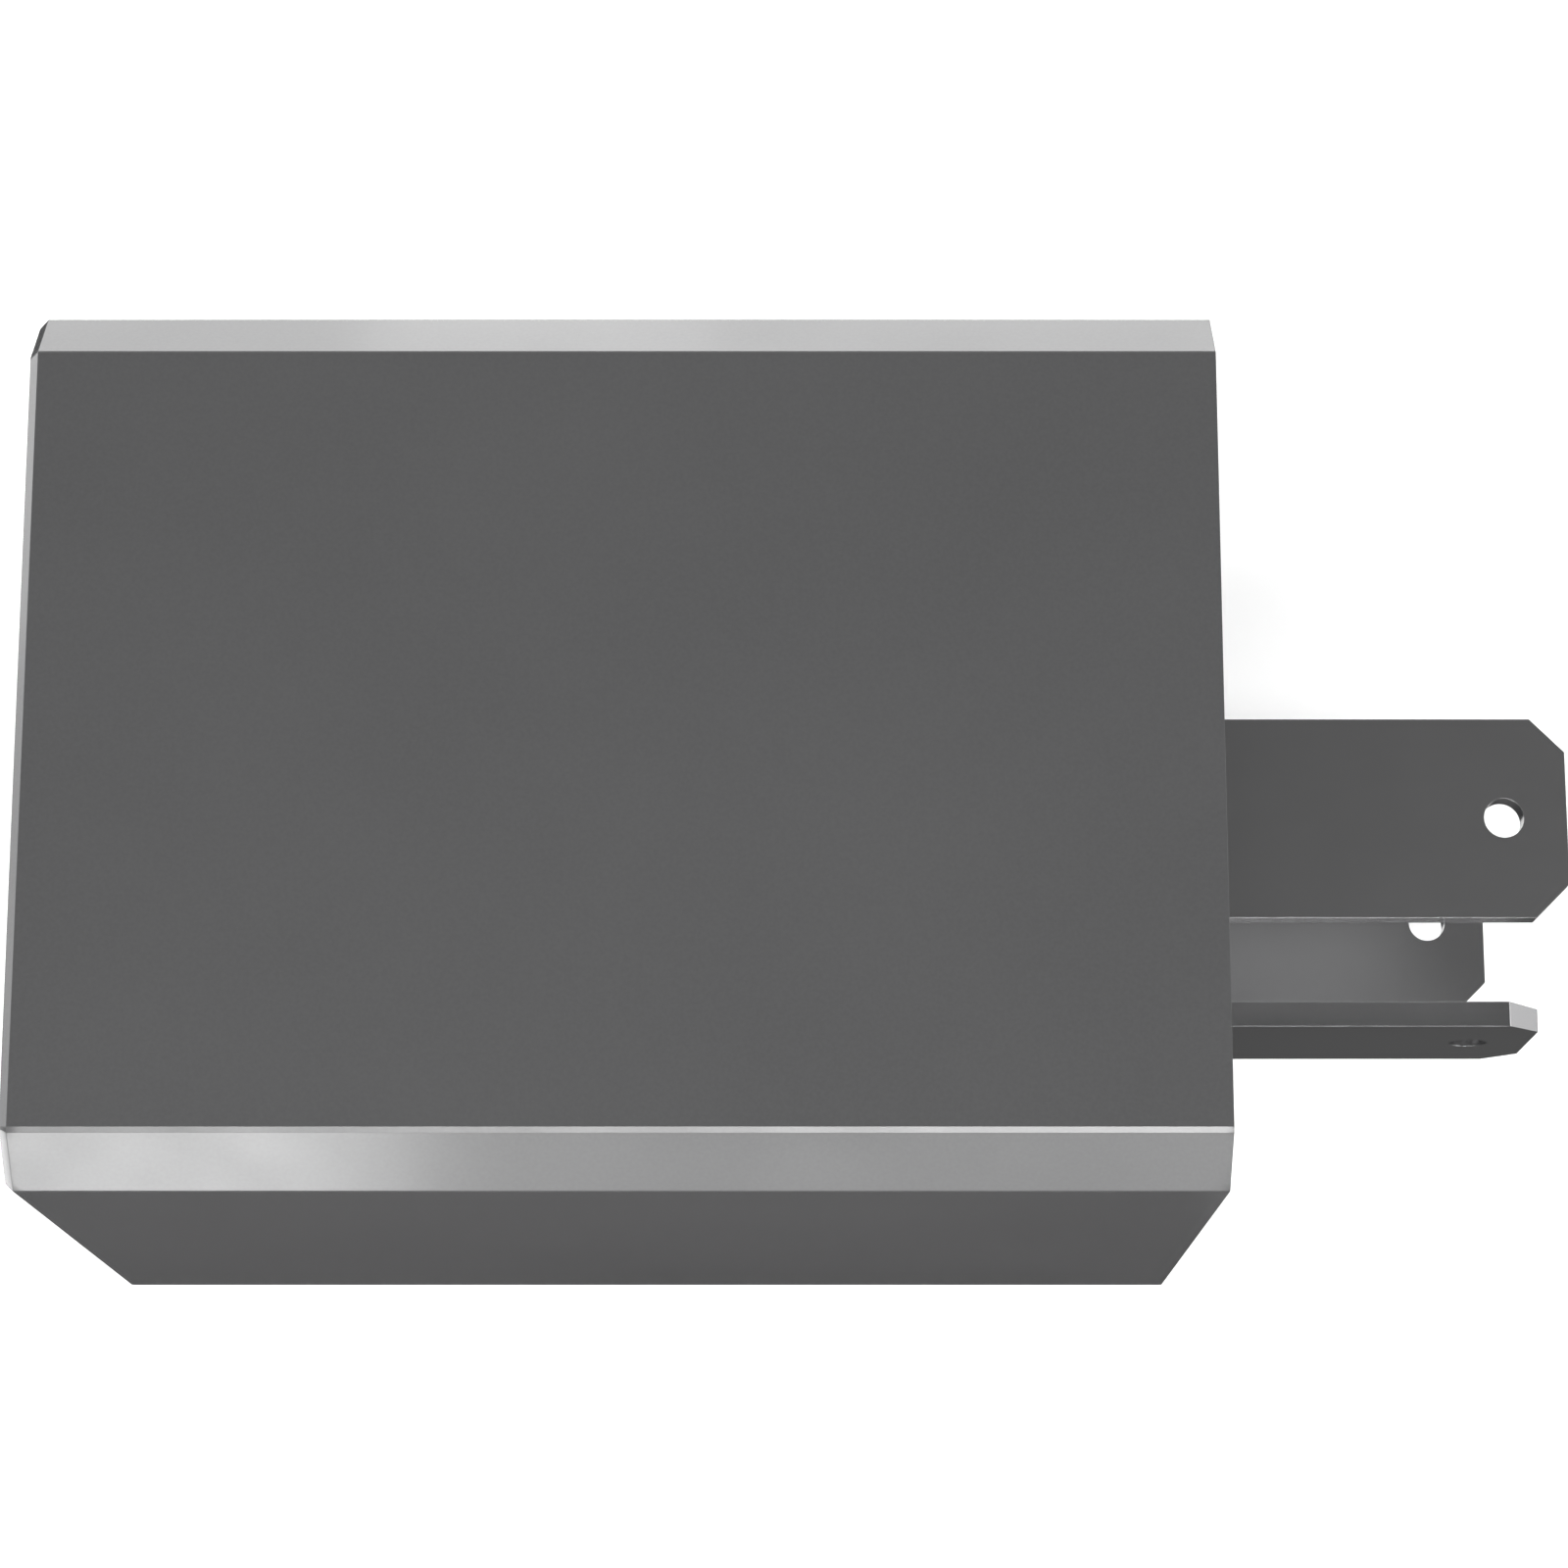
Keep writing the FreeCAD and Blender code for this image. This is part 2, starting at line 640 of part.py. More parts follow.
def choke_core():
    """A ferrite drum lying on its terminals: two flanges and a post."""
    top = board_bottom - 0.15
    flange = 0.4
    upper = rod(choke_x, top - flange, choke_z, choke_radius, flange, ALONG_Y)
    lower = rod(choke_x, top - choke_height, choke_z, choke_radius, flange, ALONG_Y)
    post = rod(choke_x, top - choke_height, choke_z, choke_post, choke_height, ALONG_Y)
    return fuse_all([upper, lower, post])


def choke_winding():
    top = board_bottom - 0.15
    height = choke_height - 0.8
    ring = rod(choke_x, top - 0.4 - height, choke_z, choke_radius - 0.3, height, ALONG_Y)
    return ring.cut(rod(choke_x, top - choke_height, choke_z, choke_post, choke_height, ALONG_Y))


def choke_terminals():
    return Part.makeCompound([hanging(choke_x + side * 1.6, choke_z, 1.1, 0.15, 2.4)
                              for side in (-1, 1)])


def fuse_body():
    return hanging(fuse_x, fuse_z, 5.8, 1.7, 2.2, 0.15)


def fuse_caps():
    """A metal cup over each end of the fuse."""
    body = fuse_body()
    return Part.makeCompound([hanging(fuse_x + side * 2.5, fuse_z, 1.1, 2.0, 2.5).cut(body)
                              for side in (-1, 1)])


def diode_body():
    body = hanging(diode_x, diode_z, 4.3, 1.8, 2.6, 0.15)
    return bevelled(body, 0.3, lambda e: e.BoundBox.YMax < board_bottom - 1.8)


def diode_leads():
    """Two straps that fold down from the ends and under the body."""
    pieces = []
    for side in (-1, 1):
        edge = diode_x + side * 2.15
        riser = block((edge, edge + side * 0.2), (board_bottom - 1.1, board_bottom),
                      (diode_z - 0.7, diode_z + 0.7))
        foot = block((edge - side * 1.0, edge + side * 0.2), (board_bottom - 0.15, board_bottom),
                     (diode_z - 0.7, diode_z + 0.7))
        pieces.append(fuse_all([riser, foot]))
    return Part.makeCompound(pieces)


def resistor_places():
    return [(core_centre_x + 3.0 * (i - 1), side * 6.4) for i in range(3) for side in (-1, 1)] \
        + [(core_centre_x + 3.0 * (i - 0.5), 8.8) for i in range(2)]


def ceramic_places():
    return [(core_centre_x + side * 4.6, k * 9.6) for side in (-1, 1) for k in (-1, 1)] \
        + [(core_centre_x, -9.6)]


def chip_bodies(places, size):
    length, height, depth = size
    return Part.makeCompound([hanging(x, z, length - 2 * end_cap, height, depth)
                              for x, z in places])


def chip_ends(places, size):
    """The metal ends, a touch prouder than the ceramic between them."""
    length, height, depth = size
    centre = (length - end_cap) / 2
    return Part.makeCompound([hanging(x + side * centre, z, end_cap, height + 0.02, depth + 0.02)
                              for x, z in places for side in (-1, 1)])


# ---------------------------------------------------------------- every node

first_tape = primary_build
second_start = primary_build + tape_thickness
last_tape = second_start + secondary_build

parts = {
    "cover": cover(),
    "base": base(),
    "base_gasket": base_gasket(),
    "supply_terminal": pair_terminal(1),
    "ground_terminal": pair_terminal(-1),
    "output_terminal": output_terminal(),
    "main_board": main_board(),
    "solder_joints": solder_joints(),
    "transformer_bobbin": transformer_bobbin(),
    "transformer_core_front": core_half(1),
    "transformer_core_rear": core_half(-1),
    "transformer_pins": transformer_pins(),
    "primary_winding": winding_layer(4.5, 0.0, primary_build),
    "winding_insulation": winding_layer(4.5, first_tape, tape_thickness),
    "secondary_winding": winding_layer(4.5, second_start, secondary_build),
    "winding_tape": winding_layer(3.4, last_tape, tape_thickness),
    "core_tape": core_tape(),
    "input_capacitor_can": input_capacitor_can(),
    "input_capacitor_sleeve": input_capacitor_sleeve(),
    "input_capacitor_bung": input_capacitor_bung(),
    "input_capacitor_roll": input_capacitor_roll(),
    "input_capacitor_leads": leads(can_lead_places(), can_lead_radius, can_lead_top),
    "output_capacitor": output_capacitor(),
    "output_capacitor_leads": leads(film_lead_places(), film_lead_radius, film_lead_top),
    "heat_spreader": heat_spreader(),
    "thermal_pads": thermal_pads(),
    "transistor_clip": transistor_clip(),
    "controller_chip": controller_chip(),
    "controller_chip_leads": controller_chip_leads(),
    "choke_core": choke_core(),
    "choke_winding": choke_winding(),
    "choke_terminals": choke_terminals(),
    "fuse_body": fuse_body(),
    "fuse_caps": fuse_caps(),
    "diode_body": diode_body(),
    "diode_leads": diode_leads(),
    "chip_resistors": chip_bodies(resistor_places(), resistor_size),
    "chip_resistor_ends": chip_ends(resistor_places(), resistor_size),
    "chip_capacitors": chip_bodies(ceramic_places(), ceramic_size),
    "chip_capacitor_ends": chip_ends(ceramic_places(), ceramic_size),
}
for number, side in ((1, 1), (2, -1)):
    parts[f"transistor_{number}_body"] = transistor_body(side)
    parts[f"transistor_{number}_leads"] = transistor_leads(side)

os.makedirs("parts", exist_ok=True)
for name, shape in parts.items():
    shape.exportStep(f"parts/{name}.step")
    box = shape.BoundBox
    print(f"{name:26s} solids {len(shape.Solids):2d} valid {shape.isValid()} "
          f"volume {shape.Volume:9.2f}  X {box.XMin:7.2f} {box.XMax:7.2f}  "
          f"Y {box.YMin:7.2f} {box.YMax:7.2f}  Z {box.ZMin:7.2f} {box.ZMax:7.2f}")
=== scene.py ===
import bmesh
import bpy
import numpy as np
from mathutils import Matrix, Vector


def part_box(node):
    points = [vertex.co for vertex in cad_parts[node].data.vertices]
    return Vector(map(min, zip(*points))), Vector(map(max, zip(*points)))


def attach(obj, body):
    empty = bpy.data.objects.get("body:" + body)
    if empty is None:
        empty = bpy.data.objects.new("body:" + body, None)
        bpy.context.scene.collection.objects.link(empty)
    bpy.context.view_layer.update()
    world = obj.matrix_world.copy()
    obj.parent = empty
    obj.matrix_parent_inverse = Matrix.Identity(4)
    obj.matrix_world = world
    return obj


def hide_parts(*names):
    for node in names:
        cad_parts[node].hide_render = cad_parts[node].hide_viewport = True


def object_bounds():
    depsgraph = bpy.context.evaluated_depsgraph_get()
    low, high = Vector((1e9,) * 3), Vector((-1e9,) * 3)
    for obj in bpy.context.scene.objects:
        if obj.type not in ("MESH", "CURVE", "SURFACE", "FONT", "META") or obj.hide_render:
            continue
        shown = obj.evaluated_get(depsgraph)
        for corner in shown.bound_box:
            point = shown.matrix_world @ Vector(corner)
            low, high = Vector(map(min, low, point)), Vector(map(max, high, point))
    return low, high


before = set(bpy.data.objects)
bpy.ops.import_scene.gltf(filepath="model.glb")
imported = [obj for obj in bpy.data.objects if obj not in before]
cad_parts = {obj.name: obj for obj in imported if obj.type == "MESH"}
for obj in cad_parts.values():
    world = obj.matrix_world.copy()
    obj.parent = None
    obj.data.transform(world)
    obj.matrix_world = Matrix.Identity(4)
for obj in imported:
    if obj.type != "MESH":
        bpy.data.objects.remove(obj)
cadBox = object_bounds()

mm = 0.001
scene = bpy.context.scene
print("frame loaded:", len(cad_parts), "nodes")


# surfaces on a grid

def gridFaces(rows, columns, closeRows=False, closeColumns=False):
    # quad (i, j) joins a grid point to its next row and next column, wrapping where the grid is closed
    i = np.arange(rows if closeRows else rows - 1)
    j = np.arange(columns if closeColumns else columns - 1)
    i, j = np.meshgrid(i, j, indexing="ij")
    nextI = (i + 1) % rows
    nextJ = (j + 1) % columns
    quads = [i * columns + j, nextI * columns + j, nextI * columns + nextJ, i * columns + nextJ]
    return np.stack(quads, -1).reshape(-1, 4).tolist()


def capped(rings):
    # rows of closed rings, with a flat face over the first and the last
    rows, columns = rings.shape[:2]
    faces = gridFaces(rows, columns, closeColumns=True)
    faces.append(list(range(columns)))
    faces.append(list(range((rows - 1) * columns, rows * columns)))
    return rings, faces


def joined(parts):
    # several (points, faces) pairs as one, with later faces counted on from the earlier points
    points, faces, start = [], [], 0
    for somePoints, someFaces in parts:
        points.append(np.reshape(somePoints, (-1, 3)))
        faces += [[start + k for k in face] for face in someFaces]
        start += len(points[-1])
    return np.concatenate(points), faces


def uprightRing(x, ring, centre=(0, 0)):
    # a ring of (y, z) pairs about a centre, standing across X
    return np.column_stack([np.full(len(ring), x), ring + np.array(centre)])


def levelRing(x, y, z, ring):
    # a ring of (x, z) pairs about (x, z), lying at height y
    return np.column_stack([ring[:, 0] + x, np.full(len(ring), y), ring[:, 1] + z])


def roundedRing(halfA, halfB, radius, steps=5):
    # a rectangle with arc corners: corner centre plus radius * (cos, sin) over each quarter turn
    turn = np.radians(90.0 * np.arange(4)[:, None] + np.linspace(0, 90, steps))
    a = np.array([1, -1, -1, 1])[:, None] * (halfA - radius) + radius * np.cos(turn)
    b = np.array([1, 1, -1, -1])[:, None] * (halfB - radius) + radius * np.sin(turn)
    return np.stack([a, b], -1).reshape(-1, 2)


def roundedBar(low, high, radius, steps=4):
    # a box with every edge rounded: rounded rectangles carried along X, drawn in by
    # radius * (1 - cos a) where the ends turn over a quarter circle
    low, high = np.array(low, float), np.array(high, float)
    centre, half = (low + high) / 2, (high - low) / 2
    turn = np.linspace(np.pi / 2, 0, steps)
    inset = radius * (1 - np.cos(turn))
    along = low[0] + radius * (1 - np.sin(turn))
    along = np.concatenate([along, (low[0] + high[0] - along)[::-1]])
    inset = np.concatenate([inset, inset[::-1]])
    rings = []
    for x, draw in zip(along, inset):
        ring = roundedRing(half[1] - draw, half[2] - draw, max(radius - draw, radius * 0.02), steps)
        rings.append(uprightRing(x, ring, centre[1:]))
    return capped(np.array(rings))


def lathe(profile, x, z, columns=48, closed=False):
    # a surface of revolution about a line along Y: (radius, height) pairs turned through a full circle
    radius, height = np.array(profile, float).T
    turn = np.linspace(0, 2 * np.pi, columns, endpoint=False)
    points = np.stack([x + radius[:, None] * np.cos(turn),
                       height[:, None] + 0 * turn,
                       z + radius[:, None] * np.sin(turn)], -1)
    return points, gridFaces(len(radius), columns, closeRows=closed, closeColumns=True)


def tubeAlong(path, radius, outward=(0.31, 0.52, 0.79), sides=8):
    # a round wire: circle points round every path point, across the path's own direction
    path = np.array(path, float)
    tangent = np.gradient(path, axis=0)
    tangent /= np.linalg.norm(tangent, axis=1)[:, None]
    first = np.cross(tangent, np.broadcast_to(outward, path.shape))
    first /= np.linalg.norm(first, axis=1)[:, None]
    second = np.cross(tangent, first)
    turn = np.linspace(0, 2 * np.pi, sides, endpoint=False)[:, None]
    rings = path[:, None] + radius * (np.cos(turn) * first[:, None] + np.sin(turn) * second[:, None])
    return capped(rings)


def sleeveBetween(x0, x1, centre, outer, inner):
    # a hollow sleeve along X: outer ring, over the far end, inner ring and back
    rows = [(x0, outer), (x1, outer), (x1, inner), (x0, inner)]
    rings = np.array([uprightRing(x, ring, centre) for x, ring in rows])
    return rings, gridFaces(len(rows), len(outer), closeRows=True, closeColumns=True)


def stripAlong(points, width, low, high):
    # a flat track in the XZ plane between two heights: the line moved half a width to each side,
    # with mitred corners
    line = np.array(points, float) * mm
    step = np.diff(line, axis=0)
    step /= np.linalg.norm(step, axis=1)[:, None]
    side = np.column_stack([-step[:, 1], step[:, 0]])
    before = np.vstack([side[:1], side])
    after = np.vstack([side, side[-1:]])
    offset = (before + after) / (1 + np.sum(before * after, axis=1))[:, None] * width / 2
    left, right = line + offset, line - offset
    corners = [(left, low), (right, low), (right, high), (left, high)]
    return capped(np.stack([levelRing(0, y, 0, edge) for edge, y in corners], 1))


# pieces

def shellOf(points, faces):
    mesh = bpy.data.meshes.new("scratch")
    mesh.from_pydata(np.reshape(points, (-1, 3)).tolist(), [], faces)
    shell = bmesh.new()
    shell.from_mesh(mesh)
    bpy.data.meshes.remove(mesh)
    bmesh.ops.remove_doubles(shell, verts=shell.verts, dist=1e-7)
    bmesh.ops.recalc_face_normals(shell, faces=shell.faces)
    return shell


def addShell(name, shell, slotName, replaces=(), material=None, body="module", sharpAngle=32):
    mesh = bpy.data.meshes.new(name)
    shell.to_mesh(mesh)
    shell.free()
    mesh.polygons.foreach_set("use_smooth", np.ones(len(mesh.polygons), bool))
    mesh.set_sharp_from_angle(angle=np.radians(sharpAngle))
    mesh.materials.append(material or finishes[slotName])
    piece = bpy.data.objects.new(name, mesh)
    scene.collection.objects.link(piece)
    shading = piece.modifiers.new("evenShading", "WEIGHTED_NORMAL")
    shading.keep_sharp = True
    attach(piece, body)
    if replaces:
        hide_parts(*replaces)
    return piece


def addPiece(name, surface, slotName, replaces=(), material=None):
    return addShell(name, shellOf(*surface), slotName, replaces, material)


def boxCentre(node):
    # a node's middle and half its size
    low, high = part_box(node)
    return (low + high) / 2, (high - low) / 2


def mergedCopy(node):
    # a CAD node's mesh is loose triangles: its copy is merged, and flat faces become whole again
    shell = bmesh.new()
    shell.from_mesh(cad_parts[node].data)
    bmesh.ops.remove_doubles(shell, verts=shell.verts, dist=1e-7)
    bmesh.ops.dissolve_limit(shell, angle_limit=np.radians(0.5), verts=shell.verts, edges=shell.edges)
    return shell


def roundEdges(shell, size, segments=2, sharperThan=30):
    limit = np.radians(sharperThan)
    edges = [e for e in shell.edges if e.is_manifold and e.calc_face_angle() > limit]
    bmesh.ops.bevel(shell, geom=edges, offset=size, segments=segments, profile=0.5,
                    affect="EDGES", clamp_overlap=True)


# what the finishes are mixed from

def setSockets(tree, node, sockets):
    # by name, with _ for a space; a value that is another node's socket is linked
    for name, value in sockets.items():
        socket = node.inputs[name.replace("_", " ")]
        if isinstance(value, bpy.types.NodeSocket):
            tree.links.new(value, socket)
        else:
            socket.default_value = value


def addNode(tree, kind, **sockets):
    node = tree.nodes.new("ShaderNode" + kind)
    setSockets(tree, node, sockets)
    return node


def newMaterial(name, **sockets):
    material = bpy.data.materials.new(name)
    material.use_nodes = True
    setSockets(material.node_tree, material.node_tree.nodes["Principled BSDF"], sockets)
    return material, material.node_tree


def objectPoints(tree, stretch=(1, 1, 1), shift=(0, 0, 0)):
    place = addNode(tree, "TexCoord").outputs["Object"]
    return addNode(tree, "Mapping", Vector=place, Scale=stretch, Location=shift).outputs["Vector"]


def grain(tree, size, detail=3, stretch=(1, 1, 1)):
    # noise whose spots are about size across, in metres
    points = objectPoints(tree, stretch)
    return addNode(tree, "TexNoise", Vector=points, Scale=1 / size, Detail=detail).outputs["Fac"]


def spread(tree, source, low, high, fromLow=0.3, fromHigh=0.7):
    node = addNode(tree, "MapRange", Value=source, From_Min=fromLow, From_Max=fromHigh,
                   To_Min=low, To_Max=high)
    return node.outputs["Result"]


def mixColours(tree, factor, first, second):
    node = tree.nodes.new("ShaderNodeMix")
    node.data_type = "RGBA"
    for socket, value in ((node.inputs[6], first), (node.inputs[7], second)):
        if isinstance(value, bpy.types.NodeSocket):
            tree.links.new(value, socket)
        else:
            socket.default_value = (*value, 1)
    tree.links.new(factor, node.inputs[0])
    return node.outputs[2]


def calculate(tree, operation, source, *values):
    node = tree.nodes.new("ShaderNodeMath")
    node.operation = operation
    tree.links.new(source, node.inputs[0])
    for socket, value in zip(node.inputs[1:], values):
        socket.default_value = value
    return node.outputs[0]


def dressed(material, colour, roughness, bumps):
    # bumps: (height, strength, depth in metres), each laid on the one before
    tree = material.node_tree
    looks = {"Base Color": colour, "Roughness": roughness}
    below = {}
    for height, strength, depth in bumps:
        bump = addNode(tree, "Bump", Height=height, Strength=strength, Distance=depth, **below)
        below = {"Normal": bump.outputs["Normal"]}
    setSockets(tree, tree.nodes["Principled BSDF"], {**looks, **below})
    return material


def axisOf(tree, source, axis):
    # one axis of the object's own coordinates: source is Object for the place or Normal for the
    # way the surface faces, which runs from -1 to 1
    coordinates = addNode(tree, "TexCoord").outputs[source]
    return addNode(tree, "SeparateXYZ", Vector=coordinates).outputs[axis]


def squareOn(tree, axis):
    # 1 on faces that look along an axis of the object or back along it, 0 on faces beside it
    return calculate(tree, "ABSOLUTE", axisOf(tree, "Normal", axis))


# finishes

def mouldedPlastic(name, dark, light, rough, grainSize=0.2 * mm, depth=0.006 * mm, ior=1.45):
    # mottled resin with a fine spark-eroded grain
    material, tree = newMaterial(name, IOR=ior)
    colour = mixColours(tree, spread(tree, grain(tree, 11 * mm, 4), 0, 1), dark, light)
    paler = tuple(min(1, 1.6 * c) for c in light)
    colour = mixColours(tree, spread(tree, grain(tree, 0.11 * mm, 2), 0, 0.12), colour, paler)
    roughness = spread(tree, grain(tree, 4 * mm, 5), rough - 0.03, rough + 0.03)
    waves = grain(tree, 3.3 * mm, 2)
    return dressed(material, colour, roughness,
                   [(grain(tree, grainSize, 4), 0.15, depth), (waves, 0.02, 0.02 * mm)])


def plainMetal(name, dark, light, rough, stretch=(1, 1, 1), size=0.3 * mm, depth=0.002 * mm,
               patches=3 * mm, vary=0.035, faceAxis=None, sides=None):
    # metal with drawn or rolled lines along the axis that is not stretched, and dull patches;
    # sides is a darker colour painted as shade on a strip's narrow sides, where its two flat faces look
    # along faceAxis
    material, tree = newMaterial(name, Metallic=1.0)
    lines = grain(tree, size, 5, stretch)
    dull = grain(tree, patches, 4)
    colour = mixColours(tree, spread(tree, dull, 0, 1), dark, light)
    if sides:
        # painted shade: faces that don't look along faceAxis take the darker sides colour
        paintedSideShade = spread(tree, squareOn(tree, faceAxis), 1, 0, 0.3, 0.95)
        colour = mixColours(tree, paintedSideShade, colour, sides)
    return dressed(material, colour, spread(tree, lines, rough - vary, rough + vary),
                   [(lines, 0.3, depth), (dull, 0.1, depth * 4)])


def enamelWire(name, dark, light):
    # copper under clear enamel
    material, tree = newMaterial(name, Metallic=0.85, Coat_Weight=0.6, Coat_Roughness=0.12)
    colour = mixColours(tree, spread(tree, grain(tree, 0.9 * mm, 4), 0, 1), dark, light)
    return dressed(material, colour, spread(tree, grain(tree, 0.4 * mm), 0.24, 0.38),
                   [(grain(tree, 0.2 * mm), 0.2, 0.004 * mm)])


def polyesterTape(name, dark, light):
    # glossy film with faint lines and small trapped bubbles
    material, tree = newMaterial(name, Coat_Weight=0.5, Coat_Roughness=0.15)
    colour = mixColours(tree, spread(tree, grain(tree, 1.6 * mm, 4), 0, 1), dark, light)
    bubbles = spread(tree, grain(tree, 0.4 * mm, 2), 0, 0.6, 0.62, 0.72)
    return dressed(material, mixColours(tree, bubbles, colour, light),
                   spread(tree, grain(tree, 0.5 * mm), 0.25, 0.42),
                   [(grain(tree, 1.2 * mm, 3, (1, 0.25, 1)), 0.25, 0.02 * mm)])


def glassStrands(tree, direction):
    # the cloth's strands one way, about 0.65 mm apart
    wave = addNode(tree, "TexWave", Vector=objectPoints(tree), Scale=480, Distortion=0.6)
    wave.bands_direction = direction
    return wave.outputs["Color"]


def laminate():
    # green solder resist over a glass weave; the sawn edges are bare
    material, tree = newMaterial("boardLaminate", Coat_Weight=0.3, Coat_Roughness=0.2)
    cloth = mixColours(tree, grain(tree, 0.6 * mm, 2), glassStrands(tree, "X"), glassStrands(tree, "Z"))
    green = mixColours(tree, spread(tree, cloth, 0, 1, 0, 1), (0.008, 0.085, 0.035), (0.012, 0.115, 0.050))
    green = mixColours(tree, spread(tree, grain(tree, 6 * mm), 0, 0.5), green, (0.006, 0.060, 0.025))
    sawn = mixColours(tree, grain(tree, 0.5 * mm, 4, (1, 6, 1)), (0.42, 0.44, 0.20), (0.22, 0.27, 0.10))
    colour = mixColours(tree, spread(tree, squareOn(tree, "Y"), 0, 1, 0.6, 0.7), sawn, green)
    return dressed(material, colour, spread(tree, grain(tree, 1 * mm, 4), 0.28, 0.42),
                   [(cloth, 0.15, 0.01 * mm), (grain(tree, 0.8 * mm), 0.1, 0.02 * mm)])


def chipResistor():
    # black glaze on the face away from the board, white ceramic on the sides
    material, tree = newMaterial("resistorGlaze")
    glaze = mixColours(tree, grain(tree, 0.4 * mm), (0.010, 0.010, 0.011), (0.022, 0.022, 0.024))
    ceramic = mixColours(tree, grain(tree, 0.2 * mm, 4), (0.60, 0.58, 0.54), (0.74, 0.72, 0.68))
    awayFromBoard = spread(tree, axisOf(tree, "Normal", "Y"), 0, 1, -0.8, -0.7)
    return dressed(material, mixColours(tree, awayFromBoard, glaze, ceramic),
                   spread(tree, grain(tree, 0.3 * mm), 0.25, 0.4),
                   [(grain(tree, 0.2 * mm), 0.2, 0.01 * mm)])


def bandedEpoxy(bandStart, bandEnd):
    # the diode's package, with a pale band painted round its cathode end
    material, tree = newMaterial("bandedEpoxy")
    body = mixColours(tree, grain(tree, 0.3 * mm, 4), (0.018, 0.018, 0.019), (0.030, 0.030, 0.031))
    band = calculate(tree, "COMPARE", axisOf(tree, "Object", "X"), (bandStart + bandEnd) / 2,
                     (bandEnd - bandStart) / 2)
    return dressed(material, mixColours(tree, band, body, (0.45, 0.45, 0.44)),
                   spread(tree, grain(tree, 0.4 * mm), 0.4, 0.55),
                   [(grain(tree, 0.12 * mm), 0.3, 0.008 * mm)])


def woundFoil(x, z):
    # rings of foil and paper round the roll's own axis
    material, tree = newMaterial("woundFoil")
    points = objectPoints(tree, shift=(-x, 0, -z))
    rings = addNode(tree, "TexWave", Vector=points, Scale=1500, Distortion=0.8)
    rings.wave_type = "RINGS"
    rings.rings_direction = "Y"
    colour = mixColours(tree, rings.outputs["Fac"], (0.30, 0.22, 0.13), (0.55, 0.53, 0.50))
    return dressed(material, colour, spread(tree, grain(tree, 0.6 * mm), 0.35, 0.6),
                   [(rings.outputs["Fac"], 0.4, 0.02 * mm)])


def sleeveFilm():
    # dark shrink film with a pale stripe down the negative side
    material, tree = newMaterial("sleeveFilm", Coat_Weight=0.4, Coat_Roughness=0.1)
    film = mixColours(tree, grain(tree, 2 * mm, 4), (0.010, 0.012, 0.030), (0.018, 0.022, 0.050))
    stripe = addNode(tree, "Attribute")
    stripe.attribute_name = "stripe"
    onStripe = spread(tree, stripe.outputs["Fac"], 0, 1, 0.45, 0.55)
    return dressed(material, mixColours(tree, onStripe, film, (0.42, 0.44, 0.46)),
                   spread(tree, grain(tree, 1 * mm, 4), 0.22, 0.38),
                   [(grain(tree, 1.5 * mm, 3, (1, 0.2, 1)), 0.2, 0.03 * mm)])


def coatedCopper():
    # copper tracks under the same green resist
    material, tree = newMaterial("coatedCopper", Coat_Weight=0.3, Coat_Roughness=0.2)
    colour = mixColours(tree, grain(tree, 2 * mm, 4), (0.020, 0.17, 0.065), (0.030, 0.21, 0.085))
    return dressed(material, colour, spread(tree, grain(tree, 1 * mm, 4), 0.28, 0.4),
                   [(grain(tree, 0.8 * mm), 0.1, 0.02 * mm)])


def legendInk():
    # white ink, thinner in places
    material, tree = newMaterial("legendInk")
    thin = spread(tree, grain(tree, 0.8 * mm, 4), 0, 1)
    return dressed(material, mixColours(tree, thin, (0.62, 0.63, 0.60), (0.76, 0.77, 0.74)),
                   spread(tree, grain(tree, 0.5 * mm), 0.45, 0.6),
                   [(grain(tree, 0.2 * mm), 0.2, 0.006 * mm)])


# slot: dark, light, roughness, and the grain's size and depth where they differ
plastics = {
    "base_plastic": ((0.020, 0.020, 0.021), (0.028, 0.028, 0.029), 0.42),
    "gasket_rubber": ((0.012, 0.012, 0.013), (0.020, 0.020, 0.021), 0.6),
    "bobbin_plastic": ((0.012, 0.012, 0.012), (0.022, 0.021, 0.020), 0.38),
    "ferrite": ((0.030, 0.029, 0.030), (0.050, 0.048, 0.048), 0.5, 0.15 * mm, 0.02 * mm),
    "bung_rubber": ((0.014, 0.014, 0.014), (0.022, 0.022, 0.022), 0.6),
    "film_box": ((0.44, 0.43, 0.40), (0.50, 0.49, 0.46), 0.4),
    "pad_silicone": ((0.26, 0.28, 0.32), (0.32, 0.34, 0.38), 0.6),
    "package_epoxy": ((0.016, 0.016, 0.017), (0.026, 0.026, 0.027), 0.5, 0.12 * mm, 0.012 * mm),
    "fuse_ceramic": ((0.68, 0.66, 0.60), (0.76, 0.74, 0.68), 0.32),
    "capacitor_ceramic": ((0.34, 0.22, 0.13), (0.42, 0.28, 0.17), 0.4),
}

# slot: dark, light, roughness, the stretch of its lines, then their size, depth and patches
metals = {
    "tinned_lead": ((0.60, 0.60, 0.60), (0.78, 0.78, 0.77), 0.25, (1, 0.1, 1)),
    "spreader_aluminium": ((0.62, 0.63, 0.64), (0.76, 0.77, 0.78), 0.3, (0.05, 1, 1)),
    "spring_steel": ((0.30, 0.31, 0.33), (0.42, 0.43, 0.45), 0.3, (1, 0.08, 1)),
    "can_aluminium": ((0.66, 0.67, 0.68), (0.80, 0.81, 0.82), 0.28, (1, 1, 1), 0.2 * mm),
    "solder": ((0.52, 0.52, 0.53), (0.74, 0.74, 0.75), 0.24, (1, 1, 1), 0.6 * mm, 0.002 * mm, 1.5 * mm),
}

